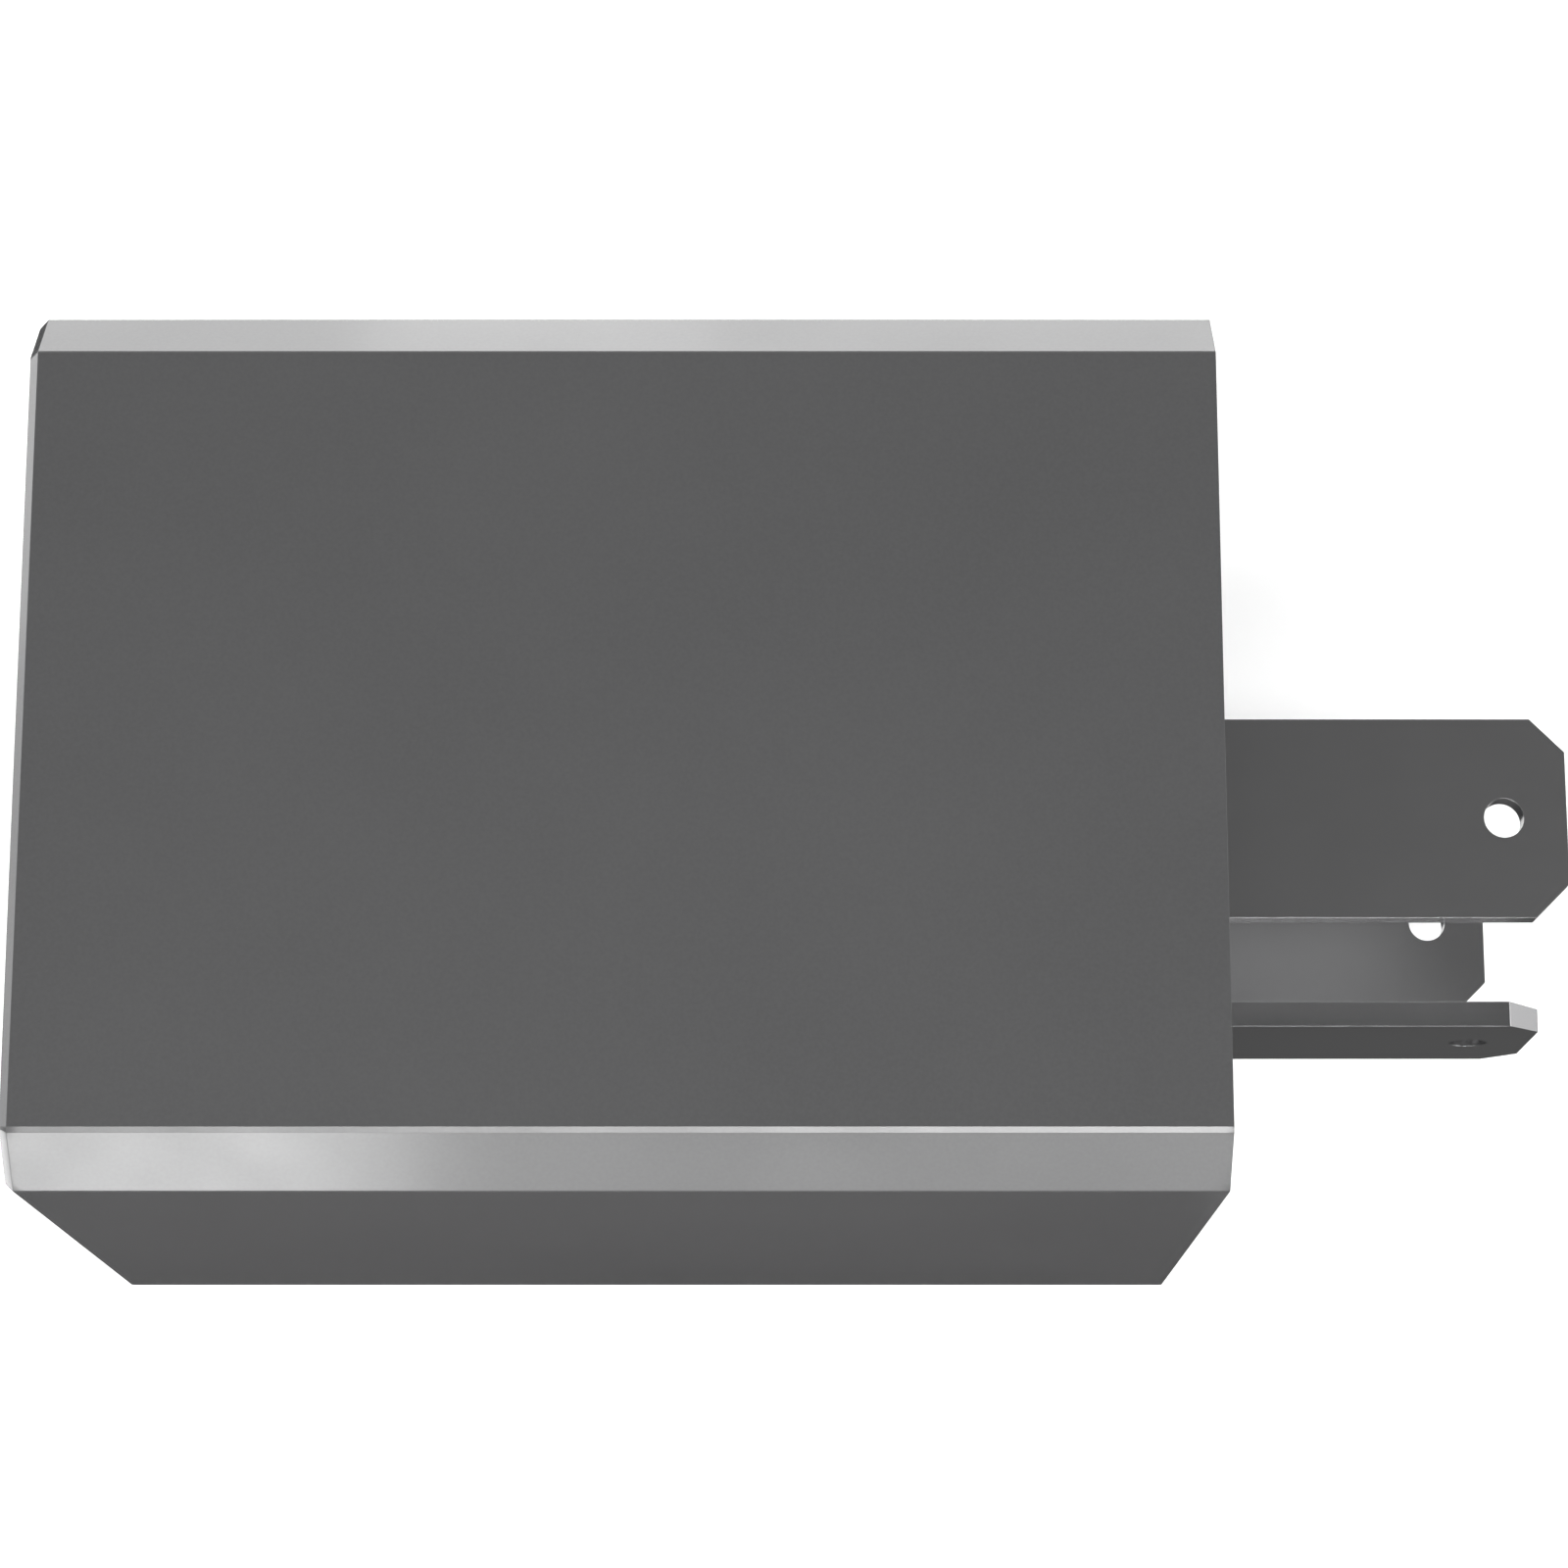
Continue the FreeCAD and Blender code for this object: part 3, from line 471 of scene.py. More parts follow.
# slot: dark, light
wires = {
    "primary_wire": ((0.48, 0.13, 0.045), (0.62, 0.20, 0.07)),
    "secondary_wire": ((0.60, 0.24, 0.08), (0.74, 0.34, 0.12)),
}
films = {
    "insulating_tape": ((0.52, 0.30, 0.02), (0.64, 0.40, 0.04)),
    "core_tape_film": ((0.42, 0.16, 0.02), (0.55, 0.24, 0.04)),
}

coverFinish = {"dark": (0.064, 0.064, 0.065), "light": (0.069, 0.069, 0.070), "rough": 0.2, "ior": 1.5}
bladeFinish = {
    "dark": (0.56, 0.56, 0.565), "light": (0.58, 0.58, 0.585),
    "sides": (0.45, 0.45, 0.455),       # painted shade on the narrow sheared edges
    "rough": 0.265, "vary": 0.004,
    "stretch": (0.12, 1, 1), "size": 0.2 * mm, "depth": 0.0001 * mm,
}


def makeFinishes():
    roll = boxCentre("input_capacitor_roll")[0]
    made = {
        "cover_plastic": mouldedPlastic("coverPlastic", **coverFinish),
        "blade_metal": plainMetal("bladeMetal", faceAxis="Z", **bladeFinish),
        "board_laminate": laminate(),
        "resistor_glaze": chipResistor(),
        "sleeve_film": sleeveFilm(),
        "foil_roll": woundFoil(roll.x, roll.z),
    }
    for make, looks in ((mouldedPlastic, plastics), (plainMetal, metals), (enamelWire, wires),
                        (polyesterTape, films)):
        for slotName, look in looks.items():
            first, *rest = slotName.split("_")
            made[slotName] = make(first + "".join(word.title() for word in rest), *look)
    return made


finishes = makeFinishes()
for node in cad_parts.values():
    node.data.materials[0] = finishes[node.data.materials[0].name]
print("finishes made:", len(finishes))


# cover

coverShape = {
    "chamfer": 1.6 * mm,
    "facet": 0.07 * mm,         # flat strip along each of the eight long edges
    "wornFacet": 0.19 * mm,     # the same along the edge that takes the wear
    "wornCorner": 3,
    "wornFade": 0.4,            # how fast the worn facet narrows where the cover draws in
    "endBevel": 0.27 * mm,      # round the closed end
    "softRound": 0.02 * mm,     # where flats and facets meet
    "wall": 1.2 * mm,
    "endWall": 1.3 * mm,
    "mouthBevel": 0.3 * mm,
    "rimRound": 0.015 * mm,
    "roundSteps": 5,
    "margin": 0.35 * mm,        # band of close points beside each edge
    "ribHeight": 0.5 * mm,
    "ribRound": 0.12 * mm,
    "ribPlaces": ((-4.3 * mm, -3.5 * mm), (-6.9 * mm, -6.1 * mm)),
    "ribFront": -4.6 * mm,
}


def facetRing(half, chamfer, facet, radius, margin):
    # a square with cut corners, each of the eight corners cut again by its own narrow facet; the
    # sixteen small corners are arcs (arc centre plus radius * (cos a, sin a)), with one more
    # point on each wide flat close beside the arc
    near = half - chamfer
    corners = np.array([(half, -near), (half, near), (near, half), (-near, half),
                        (-half, near), (-half, -near), (-near, -half), (near, -half)])
    after = np.radians(45.0 * np.arange(8))       # outward direction of the flat after each corner
    middle = after - np.radians(22.5)
    before = after - np.radians(45.0)
    back = (facet / 2 / np.cos(np.radians(22.5)))[:, None]
    flatBefore = np.stack([-np.sin(before), np.cos(before)], -1)
    flatAfter = np.stack([-np.sin(after), np.cos(after)], -1)
    starts, ends = corners - flatBefore * back, corners + flatAfter * back
    reach = radius / np.cos(np.radians(11.25))
    points = []
    for corner, low, high in ((starts, before, middle), (ends, middle, after)):
        centre = (low + high) / 2
        hub = corner - reach * np.stack([np.cos(centre), np.sin(centre)], -1)
        turn = low[:, None] + (high - low)[:, None] * np.linspace(0, 1, 3)
        points.append(hub[:, None] + radius * np.stack([np.cos(turn), np.sin(turn)], -1))
    first = points[0][:, :1] - flatBefore[:, None] * margin
    last = points[1][:, -1:] + flatAfter[:, None] * margin
    return np.concatenate([first, points[0], points[1], last], 1).reshape(-1, 2)


def softCorner(x, inset, before, after, radius):
    # three points round a corner of the cover's side view, between two outward directions
    # given in degrees, where 0 is along X and 90 is away from the axis
    before, after = np.radians(before), np.radians(after)
    middle = (before + after) / 2
    reach = radius / np.cos((after - before) / 2)
    hub = np.array([x, -inset]) - reach * np.array([np.cos(middle), np.sin(middle)])
    turns = np.linspace(before, after, 3)
    return [(hub[0] + radius * np.cos(a), -(hub[1] + radius * np.sin(a))) for a in turns]


def coverStations():
    # (x, how far inside the outer wall) for every ring: from the closed end along the outside to
    # the rim, round it, and back along the inside
    s = coverShape
    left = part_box("cover")[0].x
    soft = s["softRound"]
    end = softCorner(left, s["endBevel"], 180, 135, soft)
    end += softCorner(left + s["endBevel"], 0, 135, 90, soft)
    outside = [(left + s["endBevel"] + s["margin"], 0), (-s["margin"], 0)]
    turn = np.linspace(0, np.pi / 2, s["roundSteps"])
    rim = [(-s["rimRound"] * (1 - np.sin(a)), s["rimRound"] * (1 - np.cos(a))) for a in turn]
    bevel = [(0, s["wall"] - s["mouthBevel"]), (-s["mouthBevel"], s["wall"])]
    inside = [(-s["mouthBevel"] - s["margin"], s["wall"]), (left + s["endWall"] + s["margin"], s["wall"]),
              (left + s["endWall"], s["wall"])]
    return end + outside + rim + bevel + inside


def makeCover():
    s = coverShape
    low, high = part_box("cover")
    rings = []
    for x, inset in coverStations():
        chamfer = s["chamfer"] - inset * (2 - np.sqrt(2))
        facet = np.full(8, s["facet"])
        facet[s["wornCorner"]] = max(s["wornFacet"] - s["wornFade"] * inset, s["facet"])
        ring = facetRing(high.z - inset, chamfer, facet, s["softRound"], s["margin"])
        rings.append(uprightRing(x, ring))
    shell = shellOf(*capped(np.array(rings)))
    inner = high.z - s["wall"]
    for y0, y1 in s["ribPlaces"]:
        for side in (-1, 1):
            z0, z1 = sorted((side * (inner - s["ribHeight"]), side * (inner + s["wall"] / 2)))
            rib = roundedBar((low.x + s["endWall"] / 2, y0, z0), (s["ribFront"], y1, z1), s["ribRound"])
            addSurface(shell, rib)
    addShell("coverShell", shell, "cover_plastic", ["cover"], body="cover")


def addSurface(shell, surface):
    # one more closed surface in the same shell
    part = shellOf(*surface)
    mesh = bpy.data.meshes.new("scratch")
    part.to_mesh(mesh)
    part.free()
    shell.from_mesh(mesh)
    bpy.data.meshes.remove(mesh)


makeCover()
print("cover made")


# blade terminals

bladeShape = {
    "width": 6.3 * mm,
    "thickness": 0.8 * mm,
    "tipChamfer": 1.06 * mm,
    "bevelLength": 1.0 * mm,    # the tip's one-sided bevel
    "bevelDepth": 0.06 * mm,
    "holeRadius": 0.62 * mm,
    "holeInset": 1.95 * mm,
    "edgeRound": 0.004 * mm,
    "edgeMargin": 0.03 * mm,    # rows close beside each rounded edge
    "innerEnd": -3.1 * mm,      # inside the base, where the tail begins
    "tailOverlap": 0.1 * mm,
    "pairCentreY": -1.51 * mm,
    "tailRound": 0.06 * mm,
    "angles": 180,
    "cornerRay": 0.005,         # radians between a corner's three rays
    "flatRows": 20,
    "crowding": 1.4,            # above 1 the rows crowd toward the hole
    "roundSteps": 4,
}


def bladeOutline(turn, draw):
    # distance from the hole's centre to the outline, drawn in by draw: the nearest of the six
    # sides, each (its distance - draw) / cos(angle between the ray and the side's direction)
    s = bladeShape
    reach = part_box("supply_terminal")[1].x
    half = s["width"] / 2
    corner = (s["holeInset"] + half - s["tipChamfer"]) / np.sqrt(2)
    holeX = reach - s["holeInset"]
    sides = [(s["holeInset"], 0), (corner, 45), (corner, -45), (half, 90), (half, -90),
             (holeX - s["innerEnd"], 180)]
    distance = np.full(turn.shape, np.inf)
    for away, degrees in sides:
        facingSide = np.cos(turn - np.radians(degrees))
        ray = np.where(facingSide > 1e-3, (away - draw) / np.maximum(facingSide, 1e-3), np.inf)
        distance = np.minimum(distance, ray)
    return distance, holeX


def bladeAngles():
    # evenly spaced rays from the hole's centre, and three close together at each corner of the
    # outline, which keep the shading crisp there
    s = bladeShape
    half = s["width"] / 2
    tail = s["innerEnd"] - (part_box("supply_terminal")[1].x - s["holeInset"])
    corners = [(s["holeInset"], half - s["tipChamfer"]), (s["holeInset"] - s["tipChamfer"], half),
               (tail, half)]
    exact = np.array([np.arctan2(side * z, x) for x, z in corners for side in (-1, 1)]) % (2 * np.pi)
    even = np.linspace(0, 2 * np.pi, s["angles"], endpoint=False)
    apart = np.abs(even[:, None] - exact).min(axis=1)
    near = s["cornerRay"]
    return np.sort(np.concatenate([even[apart > 2 * near], exact - near, exact, exact + near]))


def bladeSurface():
    # rings round the hole, from inside the hole over the top face, round the outline's edge,
    # back under the bottom face and up the hole: (distance from the hole, height) for each ring
    s = bladeShape
    turn = bladeAngles()
    half = s["thickness"] / 2
    edge = s["edgeRound"]
    quarter = np.linspace(0, np.pi / 2, s["roundSteps"])
    outline, holeX = bladeOutline(turn, edge)
    share = np.linspace(0, 1, s["flatRows"]) ** s["crowding"]
    margin = s["edgeMargin"]
    near, far = s["holeRadius"] + edge + margin, outline - margin
    hole = [(s["holeRadius"] + 0 * turn, edge + margin)]
    hole += [(s["holeRadius"] + edge * (1 - np.cos(a)) + 0 * turn, edge * (1 - np.sin(a))) for a in quarter]
    flat = [((1 - t) * near + t * far, 0) for t in share]
    outer = [(bladeOutline(turn, edge * (1 - np.sin(a)))[0], edge * (1 - np.cos(a))) for a in quarter]
    outer += [(bladeOutline(turn, 0)[0], edge + margin)]
    halfRows = hole + flat + outer
    rings = []
    for sign, rows in ((1, halfRows), (-1, halfRows[::-1])):
        for radius, below in rows:
            x = holeX + radius * np.cos(turn)
            bevel = np.clip((x - (holeX + s["holeInset"] - s["bevelLength"])) / s["bevelLength"], 0, 1)
            face = half - (s["bevelDepth"] * bevel if sign < 0 else 0 * bevel)
            rings.append(np.stack([x, radius * np.sin(turn), sign * (face - below)], -1))
    rings = np.array(rings)
    return rings, gridFaces(*rings.shape[:2], closeRows=True, closeColumns=True)


def makeTerminal(name, node, flatDown, centre, material=None):
    # the blade outside the base, and the CAD tail inside it with its edges rounded; flatDown
    # turns the bevelled face from -Z to +Y
    s = bladeShape
    shell = mergedCopy(node)
    everything = shell.verts[:] + shell.edges[:] + shell.faces[:]
    cut = bmesh.ops.bisect_plane(shell, geom=everything, plane_no=(1, 0, 0), clear_outer=True,
                                 plane_co=(s["innerEnd"] + s["tailOverlap"], 0, 0))
    bmesh.ops.edgeloop_fill(shell, edges=[e for e in cut["geom_cut"] if isinstance(e, bmesh.types.BMEdge)])
    bmesh.ops.recalc_face_normals(shell, faces=shell.faces)
    roundEdges(shell, s["tailRound"])
    points, faces = bladeSurface()
    if flatDown:
        points = np.stack([points[..., 0], -points[..., 2], points[..., 1]], -1)
    addSurface(shell, (points + np.array(centre), faces))
    addShell(name, shell, "blade_metal", [node], material)


def makeTerminals():
    pairY = bladeShape["pairCentreY"]
    low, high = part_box("supply_terminal")
    pairZ = (low.z + high.z) / 2
    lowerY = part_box("output_terminal")[0].y + bladeShape["thickness"] / 2
    # the same finish, its painted shade on the narrow sides turned for the blade whose flat faces look
    # along Y
    turnedMetal = plainMetal("turnedBladeMetal", faceAxis="Y", **bladeFinish)
    makeTerminal("supplyBlade", "supply_terminal", False, (0, pairY, pairZ))
    makeTerminal("groundBlade", "ground_terminal", False, (0, pairY, -pairZ))
    makeTerminal("outputBlade", "output_terminal", True, (0, lowerY, 0), turnedMetal)


makeTerminals()
print("terminals made")


# parts that keep their CAD shape and get real edges

softEdges = {
    # node: name of the piece, edge radius in millimetres
    "base": ("basePlug", 0.12),
    "base_gasket": ("gasketRing", 0.16),
    "main_board": ("circuitBoard", 0.03),
    "transformer_bobbin": ("bobbin", 0.1),
    "transformer_core_front": ("coreFront", 0.12),
    "transformer_core_rear": ("coreRear", 0.12),
    "transformer_pins": ("bobbinPins", 0.08),
    "input_capacitor_bung": ("capacitorBung", 0.08),
    "input_capacitor_leads": ("capacitorLeads", 0.05),
    "output_capacitor": ("filmCapacitor", 0.06),
    "output_capacitor_leads": ("filmCapacitorLeads", 0.05),
    "heat_spreader": ("heatSpreader", 0.1),
    "thermal_pads": ("thermalPads", 0.03),
    "transistor_clip": ("springClip", 0.06),
    "controller_chip": ("controllerChip", 0.05),
    "controller_chip_leads": ("controllerChipLeads", 0.03),
    "choke_core": ("chokeCore", 0.1),
    "choke_terminals": ("chokeTerminals", 0.03),
    "fuse_body": ("fuseBody", 0.08),
    "fuse_caps": ("fuseCaps", 0.1),
    "diode_leads": ("diodeLeads", 0.03),
    "chip_resistors": ("chipResistors", 0.03),
    "chip_resistor_ends": ("chipResistorEnds", 0.04),
    "chip_capacitors": ("chipCapacitors", 0.08),
    "chip_capacitor_ends": ("chipCapacitorEnds", 0.08),
    "transistor_1_body": ("transistor1Body", 0.08),
    "transistor_1_leads": ("transistor1Leads", 0.04),
    "transistor_2_body": ("transistor2Body", 0.08),
    "transistor_2_leads": ("transistor2Leads", 0.04),
}


def slotOf(node):
    return next(slotName for slotName, material in finishes.items()
                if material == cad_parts[node].data.materials[0])


def soften(node, name, radius, material=None):
    shell = mergedCopy(node)
    roundEdges(shell, radius * mm)
    addShell(name, shell, slotOf(node), [node], material)


for node, (name, radius) in softEdges.items():
    soften(node, name, radius)
diodeShape = {"edge": 0.06, "band": (0.5 * mm, 1.1 * mm)}    # the band is measured from the cathode end
diodeBand = [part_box("diode_body")[0].x + x for x in diodeShape["band"]]
soften("diode_body", "diodeBody", diodeShape["edge"], bandedEpoxy(*diodeBand))
print("softened parts made:", len(softEdges) + 1)


# transformer windings and tapes

windingShape = {
    "tubeRound": 0.6 * mm,      # corner radius of the bobbin's tube
    "primaryBuild": 1.2 * mm,
    "secondaryStart": 1.32 * mm,
    "secondaryBuild": 1.3 * mm,
    "primaryWire": 0.5 * mm,
    "secondaryWire": 0.25 * mm,
    "sunk": 0.55,               # depth of the plain sleeve's face under the turns, in wires
    "ringSteps": 9,
    "wireSides": 6,
}


def woundCoil(node, build, cornerRound, wire):
    # the outer layer of turns: one long helix of round wire on a rounded rectangle, its place along
    # X growing by one wire a turn, over a plain sleeve that stands for the layers below
    s = windingShape
    centre, half = boxCentre(node)
    middle = (centre.y, centre.z)

    def ringUnder(depth):
        return roundedRing(half.y - depth, half.z - depth, cornerRound - depth, s["ringSteps"])

    turns = int((2 * half.x) / wire) - 1
    around = np.tile(ringUnder(wire / 2), (turns, 1)) + np.array(middle)
    place = centre.x - half.x + wire / 2 + (2 * half.x - wire) * np.linspace(0, 1, len(around))
    wound = tubeAlong(np.column_stack([place, around]), wire / 2, (1, 0, 0), s["wireSides"])
    sleeve = sleeveBetween(centre.x - half.x, centre.x + half.x, middle,
                           ringUnder(wire * s["sunk"]), ringUnder(build))
    return joined([wound, sleeve])


def makeWindings():
    s = windingShape
    start = {"primary": 0, "secondary": s["secondaryStart"]}
    for name in ("primary", "secondary"):
        build = s[name + "Build"]
        coil = woundCoil(name + "_winding", build, s["tubeRound"] + start[name] + build, s[name + "Wire"])
        addPiece(name + "Coil", coil, name + "_wire", [name + "_winding"])


tapeShape = {
    "thickness": 0.12 * mm,
    "windingRound": 3.34 * mm,
    "coreRound": 0.15 * mm,
    "edgeRound": 0.3,           # how far the long edges draw in, in thicknesses
    "edgeSteps": 5,
    "ringSteps": 9,
    "overlap": 4.0 * mm,        # half the length of the core tape's loose end
    "overlapLow": 0.1 * mm,     # from the tape's lower and upper edges
    "overlapHigh": 0.05 * mm,
}


def tapeBand(node, cornerRound):
    # a thin closed band along X; each long edge turns over a half circle a, where the depth is
    # (1 - cos a) / 2 of the thickness and the edge draws in by 1 - sin a
    s = tapeShape
    centre, half = boxCentre(node)
    turn = np.linspace(0, np.pi, s["edgeSteps"])
    reach = half.x - s["edgeRound"] * s["thickness"] * (1 - np.sin(turn))
    depth = s["thickness"] * (1 - np.cos(turn)) / 2
    rings = []
    for x, d in zip([*-reach[::-1], *reach], [*depth[::-1], *depth]):
        ring = roundedRing(half.y - d, half.z - d, cornerRound - d, s["ringSteps"])
        rings.append(uprightRing(centre.x + x, ring, (centre.y, centre.z)))
    rings = np.array(rings)
    return rings, gridFaces(*rings.shape[:2], closeRows=True, closeColumns=True)


def makeTapes():
    s = tapeShape
    t = s["thickness"]
    addPiece("windingTape", tapeBand("winding_tape", s["windingRound"]), "insulating_tape",
             ["winding_tape"])
    low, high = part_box("core_tape")
    centre, half = boxCentre("core_tape")
    outer = roundedRing(half.x, half.z, s["coreRound"] + t)
    inner = roundedRing(half.x - t, half.z - t, s["coreRound"])
    rows = [(low.y, outer), (high.y, outer), (high.y, inner), (low.y, inner)]
    rings = np.array([levelRing(centre.x, y, centre.z, ring) for y, ring in rows])
    band = (rings, gridFaces(*rings.shape[:2], closeRows=True, closeColumns=True))
    # the loose end: a bar a little sunk into the band and a little proud of it
    flap = roundedBar((centre.x - s["overlap"], low.y + s["overlapLow"], high.z - t * 0.2),
                      (centre.x + s["overlap"], high.y - s["overlapHigh"], high.z + t * 0.6), t * 0.35)
    addPiece("coreTape", joined([band, flap]), "core_tape_film", ["core_tape"])


makeWindings()
makeTapes()
print("windings made")


# input capacitor

capacitorShape = {
    "sleeve": 0.15 * mm,
    "sleeveGap": 0.002 * mm,
    "topRound": 0.45 * mm,
    "lip": 0.9 * mm,            # how far the sleeve folds in over the top
    "neck": 0.22 * mm,          # depth of the groove that grips the bung
    "neckHeight": 1.3 * mm,     # groove above the foot
    "neckHalf": 0.45 * mm,
    "neckEnd": 2.6 * mm,        # the wall is plain above this
    "neckRows": 22,
    "flatMargin": 0.3 * mm,     # from the top's rounded edge to the nearest row of points
    "scoreDepth": 0.12 * mm,
    "scoreHalf": 0.2 * mm,
    "scoreReach": 2.3 * mm,
    "scoreFade": 0.3 * mm,
    "stripeAt": 35,             # degrees round the can
    "stripeHalf": 24,
    "columns": 96,
}


def canProfile(low, high, radius):
    # up the wall and over the top's rounded edge; the neck is a smooth dip of the radius
    s = capacitorShape
    heights = np.append(np.linspace(low, low + s["neckEnd"], s["neckRows"]),
                        high - s["topRound"] - s["flatMargin"])
    dip = np.exp(-((heights - low - s["neckHeight"]) / s["neckHalf"]) ** 2)
    wall = [(radius - s["neck"] * d, h) for d, h in zip(dip, heights)]
    turn = np.linspace(0, np.pi / 2, 7)
    top = [(radius - s["topRound"] * (1 - np.cos(a)), high - s["topRound"] * (1 - np.sin(a))) for a in turn]
    return wall + top


def makeCapacitor():
    s = capacitorShape
    low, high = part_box("input_capacitor_can")
    x, z = (low.x + high.x) / 2, (low.z + high.z) / 2
    radius = (high.x - low.x) / 2
    disc = [(r, high.y) for r in np.linspace(radius - s["topRound"] - 0.2 * mm, 0, 26)]
    points, faces = lathe([(0, low.y)] + canProfile(low.y, high.y, radius) + disc, x, z, s["columns"])
    # the vent: two scored grooves that cross on the can's top, deepest along their middles
    away = np.abs(points - np.array((x, 0, z)))
    nearest = np.minimum(away[..., 0], away[..., 2])
    fade = np.clip((s["scoreReach"] - np.hypot(away[..., 0], away[..., 2])) / s["scoreFade"], 0, 1)
    groove = np.clip(1 - nearest / s["scoreHalf"], 0, 1) * fade
    points[..., 1] -= np.where(points[..., 1] > high.y - 1e-6, s["scoreDepth"] * groove, 0)
    addPiece("capacitorCan", (points, faces), "can_aluminium", ["input_capacitor_can"])
    makeSleeve(x, z, radius)


def makeSleeve(x, z, radius):
    s = capacitorShape
    low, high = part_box("input_capacitor_sleeve")
    outside = canProfile(low.y, high.y, radius + s["sleeve"])
    lip = [(radius - s["lip"], high.y), (radius - s["lip"], high.y - s["sleeve"])]
    inside = canProfile(low.y, high.y - s["sleeve"], radius + s["sleeveGap"])[::-1]
    piece = addPiece("capacitorSleeve", lathe(outside + lip + inside, x, z, s["columns"], closed=True),
                     "sleeve_film", ["input_capacitor_sleeve"])
    place = np.zeros(len(piece.data.vertices) * 3)
    piece.data.vertices.foreach_get("co", place)
    place = place.reshape(-1, 3)
    angle = np.degrees(np.arctan2(place[:, 2] - z, place[:, 0] - x))
    onStripe = (np.abs(angle - s["stripeAt"]) < s["stripeHalf"]) & (place[:, 1] < high.y - s["topRound"])
    stripe = piece.data.attributes.new("stripe", "FLOAT", "POINT")
    stripe.data.foreach_set("value", onStripe.astype(np.float32))


makeCapacitor()
print("capacitor made")


# choke winding

chokeShape = {
    "wire": 0.22 * mm,
    "sunk": 0.55,               # depth of the plain drum's face under the turns, in wires
    "turnSteps": 40,
}


def makeChokeWinding():
    # wire wound up the drum's post: a helix whose radius is the winding's, over a plain drum
    s = chokeShape
    low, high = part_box("choke_winding")
    x, z = (low.x + high.x) / 2, (low.z + high.z) / 2
    radius = (high.x - low.x) / 2
    wire = s["wire"]
    turns = int((high.y - low.y) / wire)
    turn = np.linspace(0, 2 * np.pi * turns, s["turnSteps"] * turns)
    height = np.linspace(low.y + wire / 2, high.y - wire / 2, len(turn))
    reach = radius - wire / 2
    path = np.column_stack([x + reach * np.cos(turn), height, z + reach * np.sin(turn)])
    inner = radius - wire * s["sunk"]
    drum = lathe([(0, low.y), (inner, low.y), (inner, high.y), (0, high.y)], x, z)
    addPiece("chokeCoil", joined([tubeAlong(path, wire / 2, (0, 1, 0), windingShape["wireSides"]), drum]),
             "primary_wire", ["choke_winding"])


makeChokeWinding()
print("choke wound")


# solder, pads and tracks

solderShape = {
    "height": 0.95 * mm,
    "spread": 0.6 * mm,
    "fall": 2.2,                # above 1 the fillet's side is hollow
    "tip": 0.04 * mm,
    "squareRound": 0.05 * mm,   # corners of a fillet round a square lead
    "padExtra": 0.22 * mm,
    "copper": 0.035 * mm,
    "sunk": 0.01 * mm,
    "pinHalf": 0.35 * mm,       # half sizes of the leads
    "transistorHalf": 0.4 * mm,
    "pairLegHalf": 0.8 * mm,
    "outputLegHalf": (0.4 * mm, 1.2 * mm),
}


def endLeads(node, count, radiusX):
    # places of the leads of one part, evenly spaced between the ends of its box
    low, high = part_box(node)
    return np.linspace(low.x + radiusX, high.x - radiusX, count)


def solderedLegs():
    # (x, z, half size along X, half size along Z, round or not) of every lead under the board
    s = solderShape
    pin = s["pinHalf"]
    pinLow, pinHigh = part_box("transformer_pins")
    legs = [(x, z, pin, pin, True) for x in endLeads("transformer_pins", 2, pin)
            for z in np.linspace(pinLow.z + pin, pinHigh.z - pin, 4)]
    for node in ("input_capacitor_leads", "output_capacitor_leads"):
        centre, half = boxCentre(node)
        legs += [(x, centre.z, half.z, half.z, True) for x in endLeads(node, 2, half.z)]
    lead = s["transistorHalf"]
    for node in ("transistor_1_leads", "transistor_2_leads"):
        centre, half = boxCentre(node)
        legs += [(x, centre.z, lead, half.z, False) for x in endLeads(node, 3, lead)]
    leg = s["pairLegHalf"]
    for node in ("supply_terminal", "ground_terminal"):
        centre, half = boxCentre(node)
        legs.append((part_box(node)[0].x + leg, centre.z, leg, half.z, False))
    return legs


def filletSurface(x, z, halfX, halfZ, isRound, foot, direction):
    # solder drawn up a lead: rounded rings whose spread is (1 - share of the height) to a power
    s = solderShape
    rings = []
    for share in np.linspace(0, 1, 7):
        draw = s["spread"] * (1 - share) ** s["fall"] + s["tip"]
        roundest = min(halfX, halfZ) + draw
        corner = roundest if isRound else min(draw + s["squareRound"], roundest)
        ring = roundedRing(halfX + draw, halfZ + draw, corner, 7)
        rings.append(levelRing(x, foot + direction * s["height"] * share, z, ring))
    return capped(np.array(rings))


def padSurface(x, z, halfX, halfZ, isRound, foot, direction):
    s = solderShape
    grow = s["spread"] + s["padExtra"]
    corner = min(halfX, halfZ) + grow if isRound else grow * 0.6
    ring = roundedRing(halfX + grow, halfZ + grow, corner, 8)
    return capped(np.array([levelRing(x, foot + direction * rise, z, ring)
                            for rise in (-s["sunk"], s["copper"])]))


def makeSolder():
    boardLow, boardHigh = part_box("main_board")
    halfX, halfZ = solderShape["outputLegHalf"]
    legs = [(*leg, boardLow.y, -1) for leg in solderedLegs()]
    legs.append((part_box("output_terminal")[0].x + halfX, 0.0, halfX, halfZ, False, boardHigh.y, 1))
    addPiece("solderFillets", joined([filletSurface(*leg) for leg in legs]), "solder", ["solder_joints"])
    addPiece("solderPads", joined([padSurface(*leg) for leg in legs]), "solder",
             material=finishes["tinned_lead"])


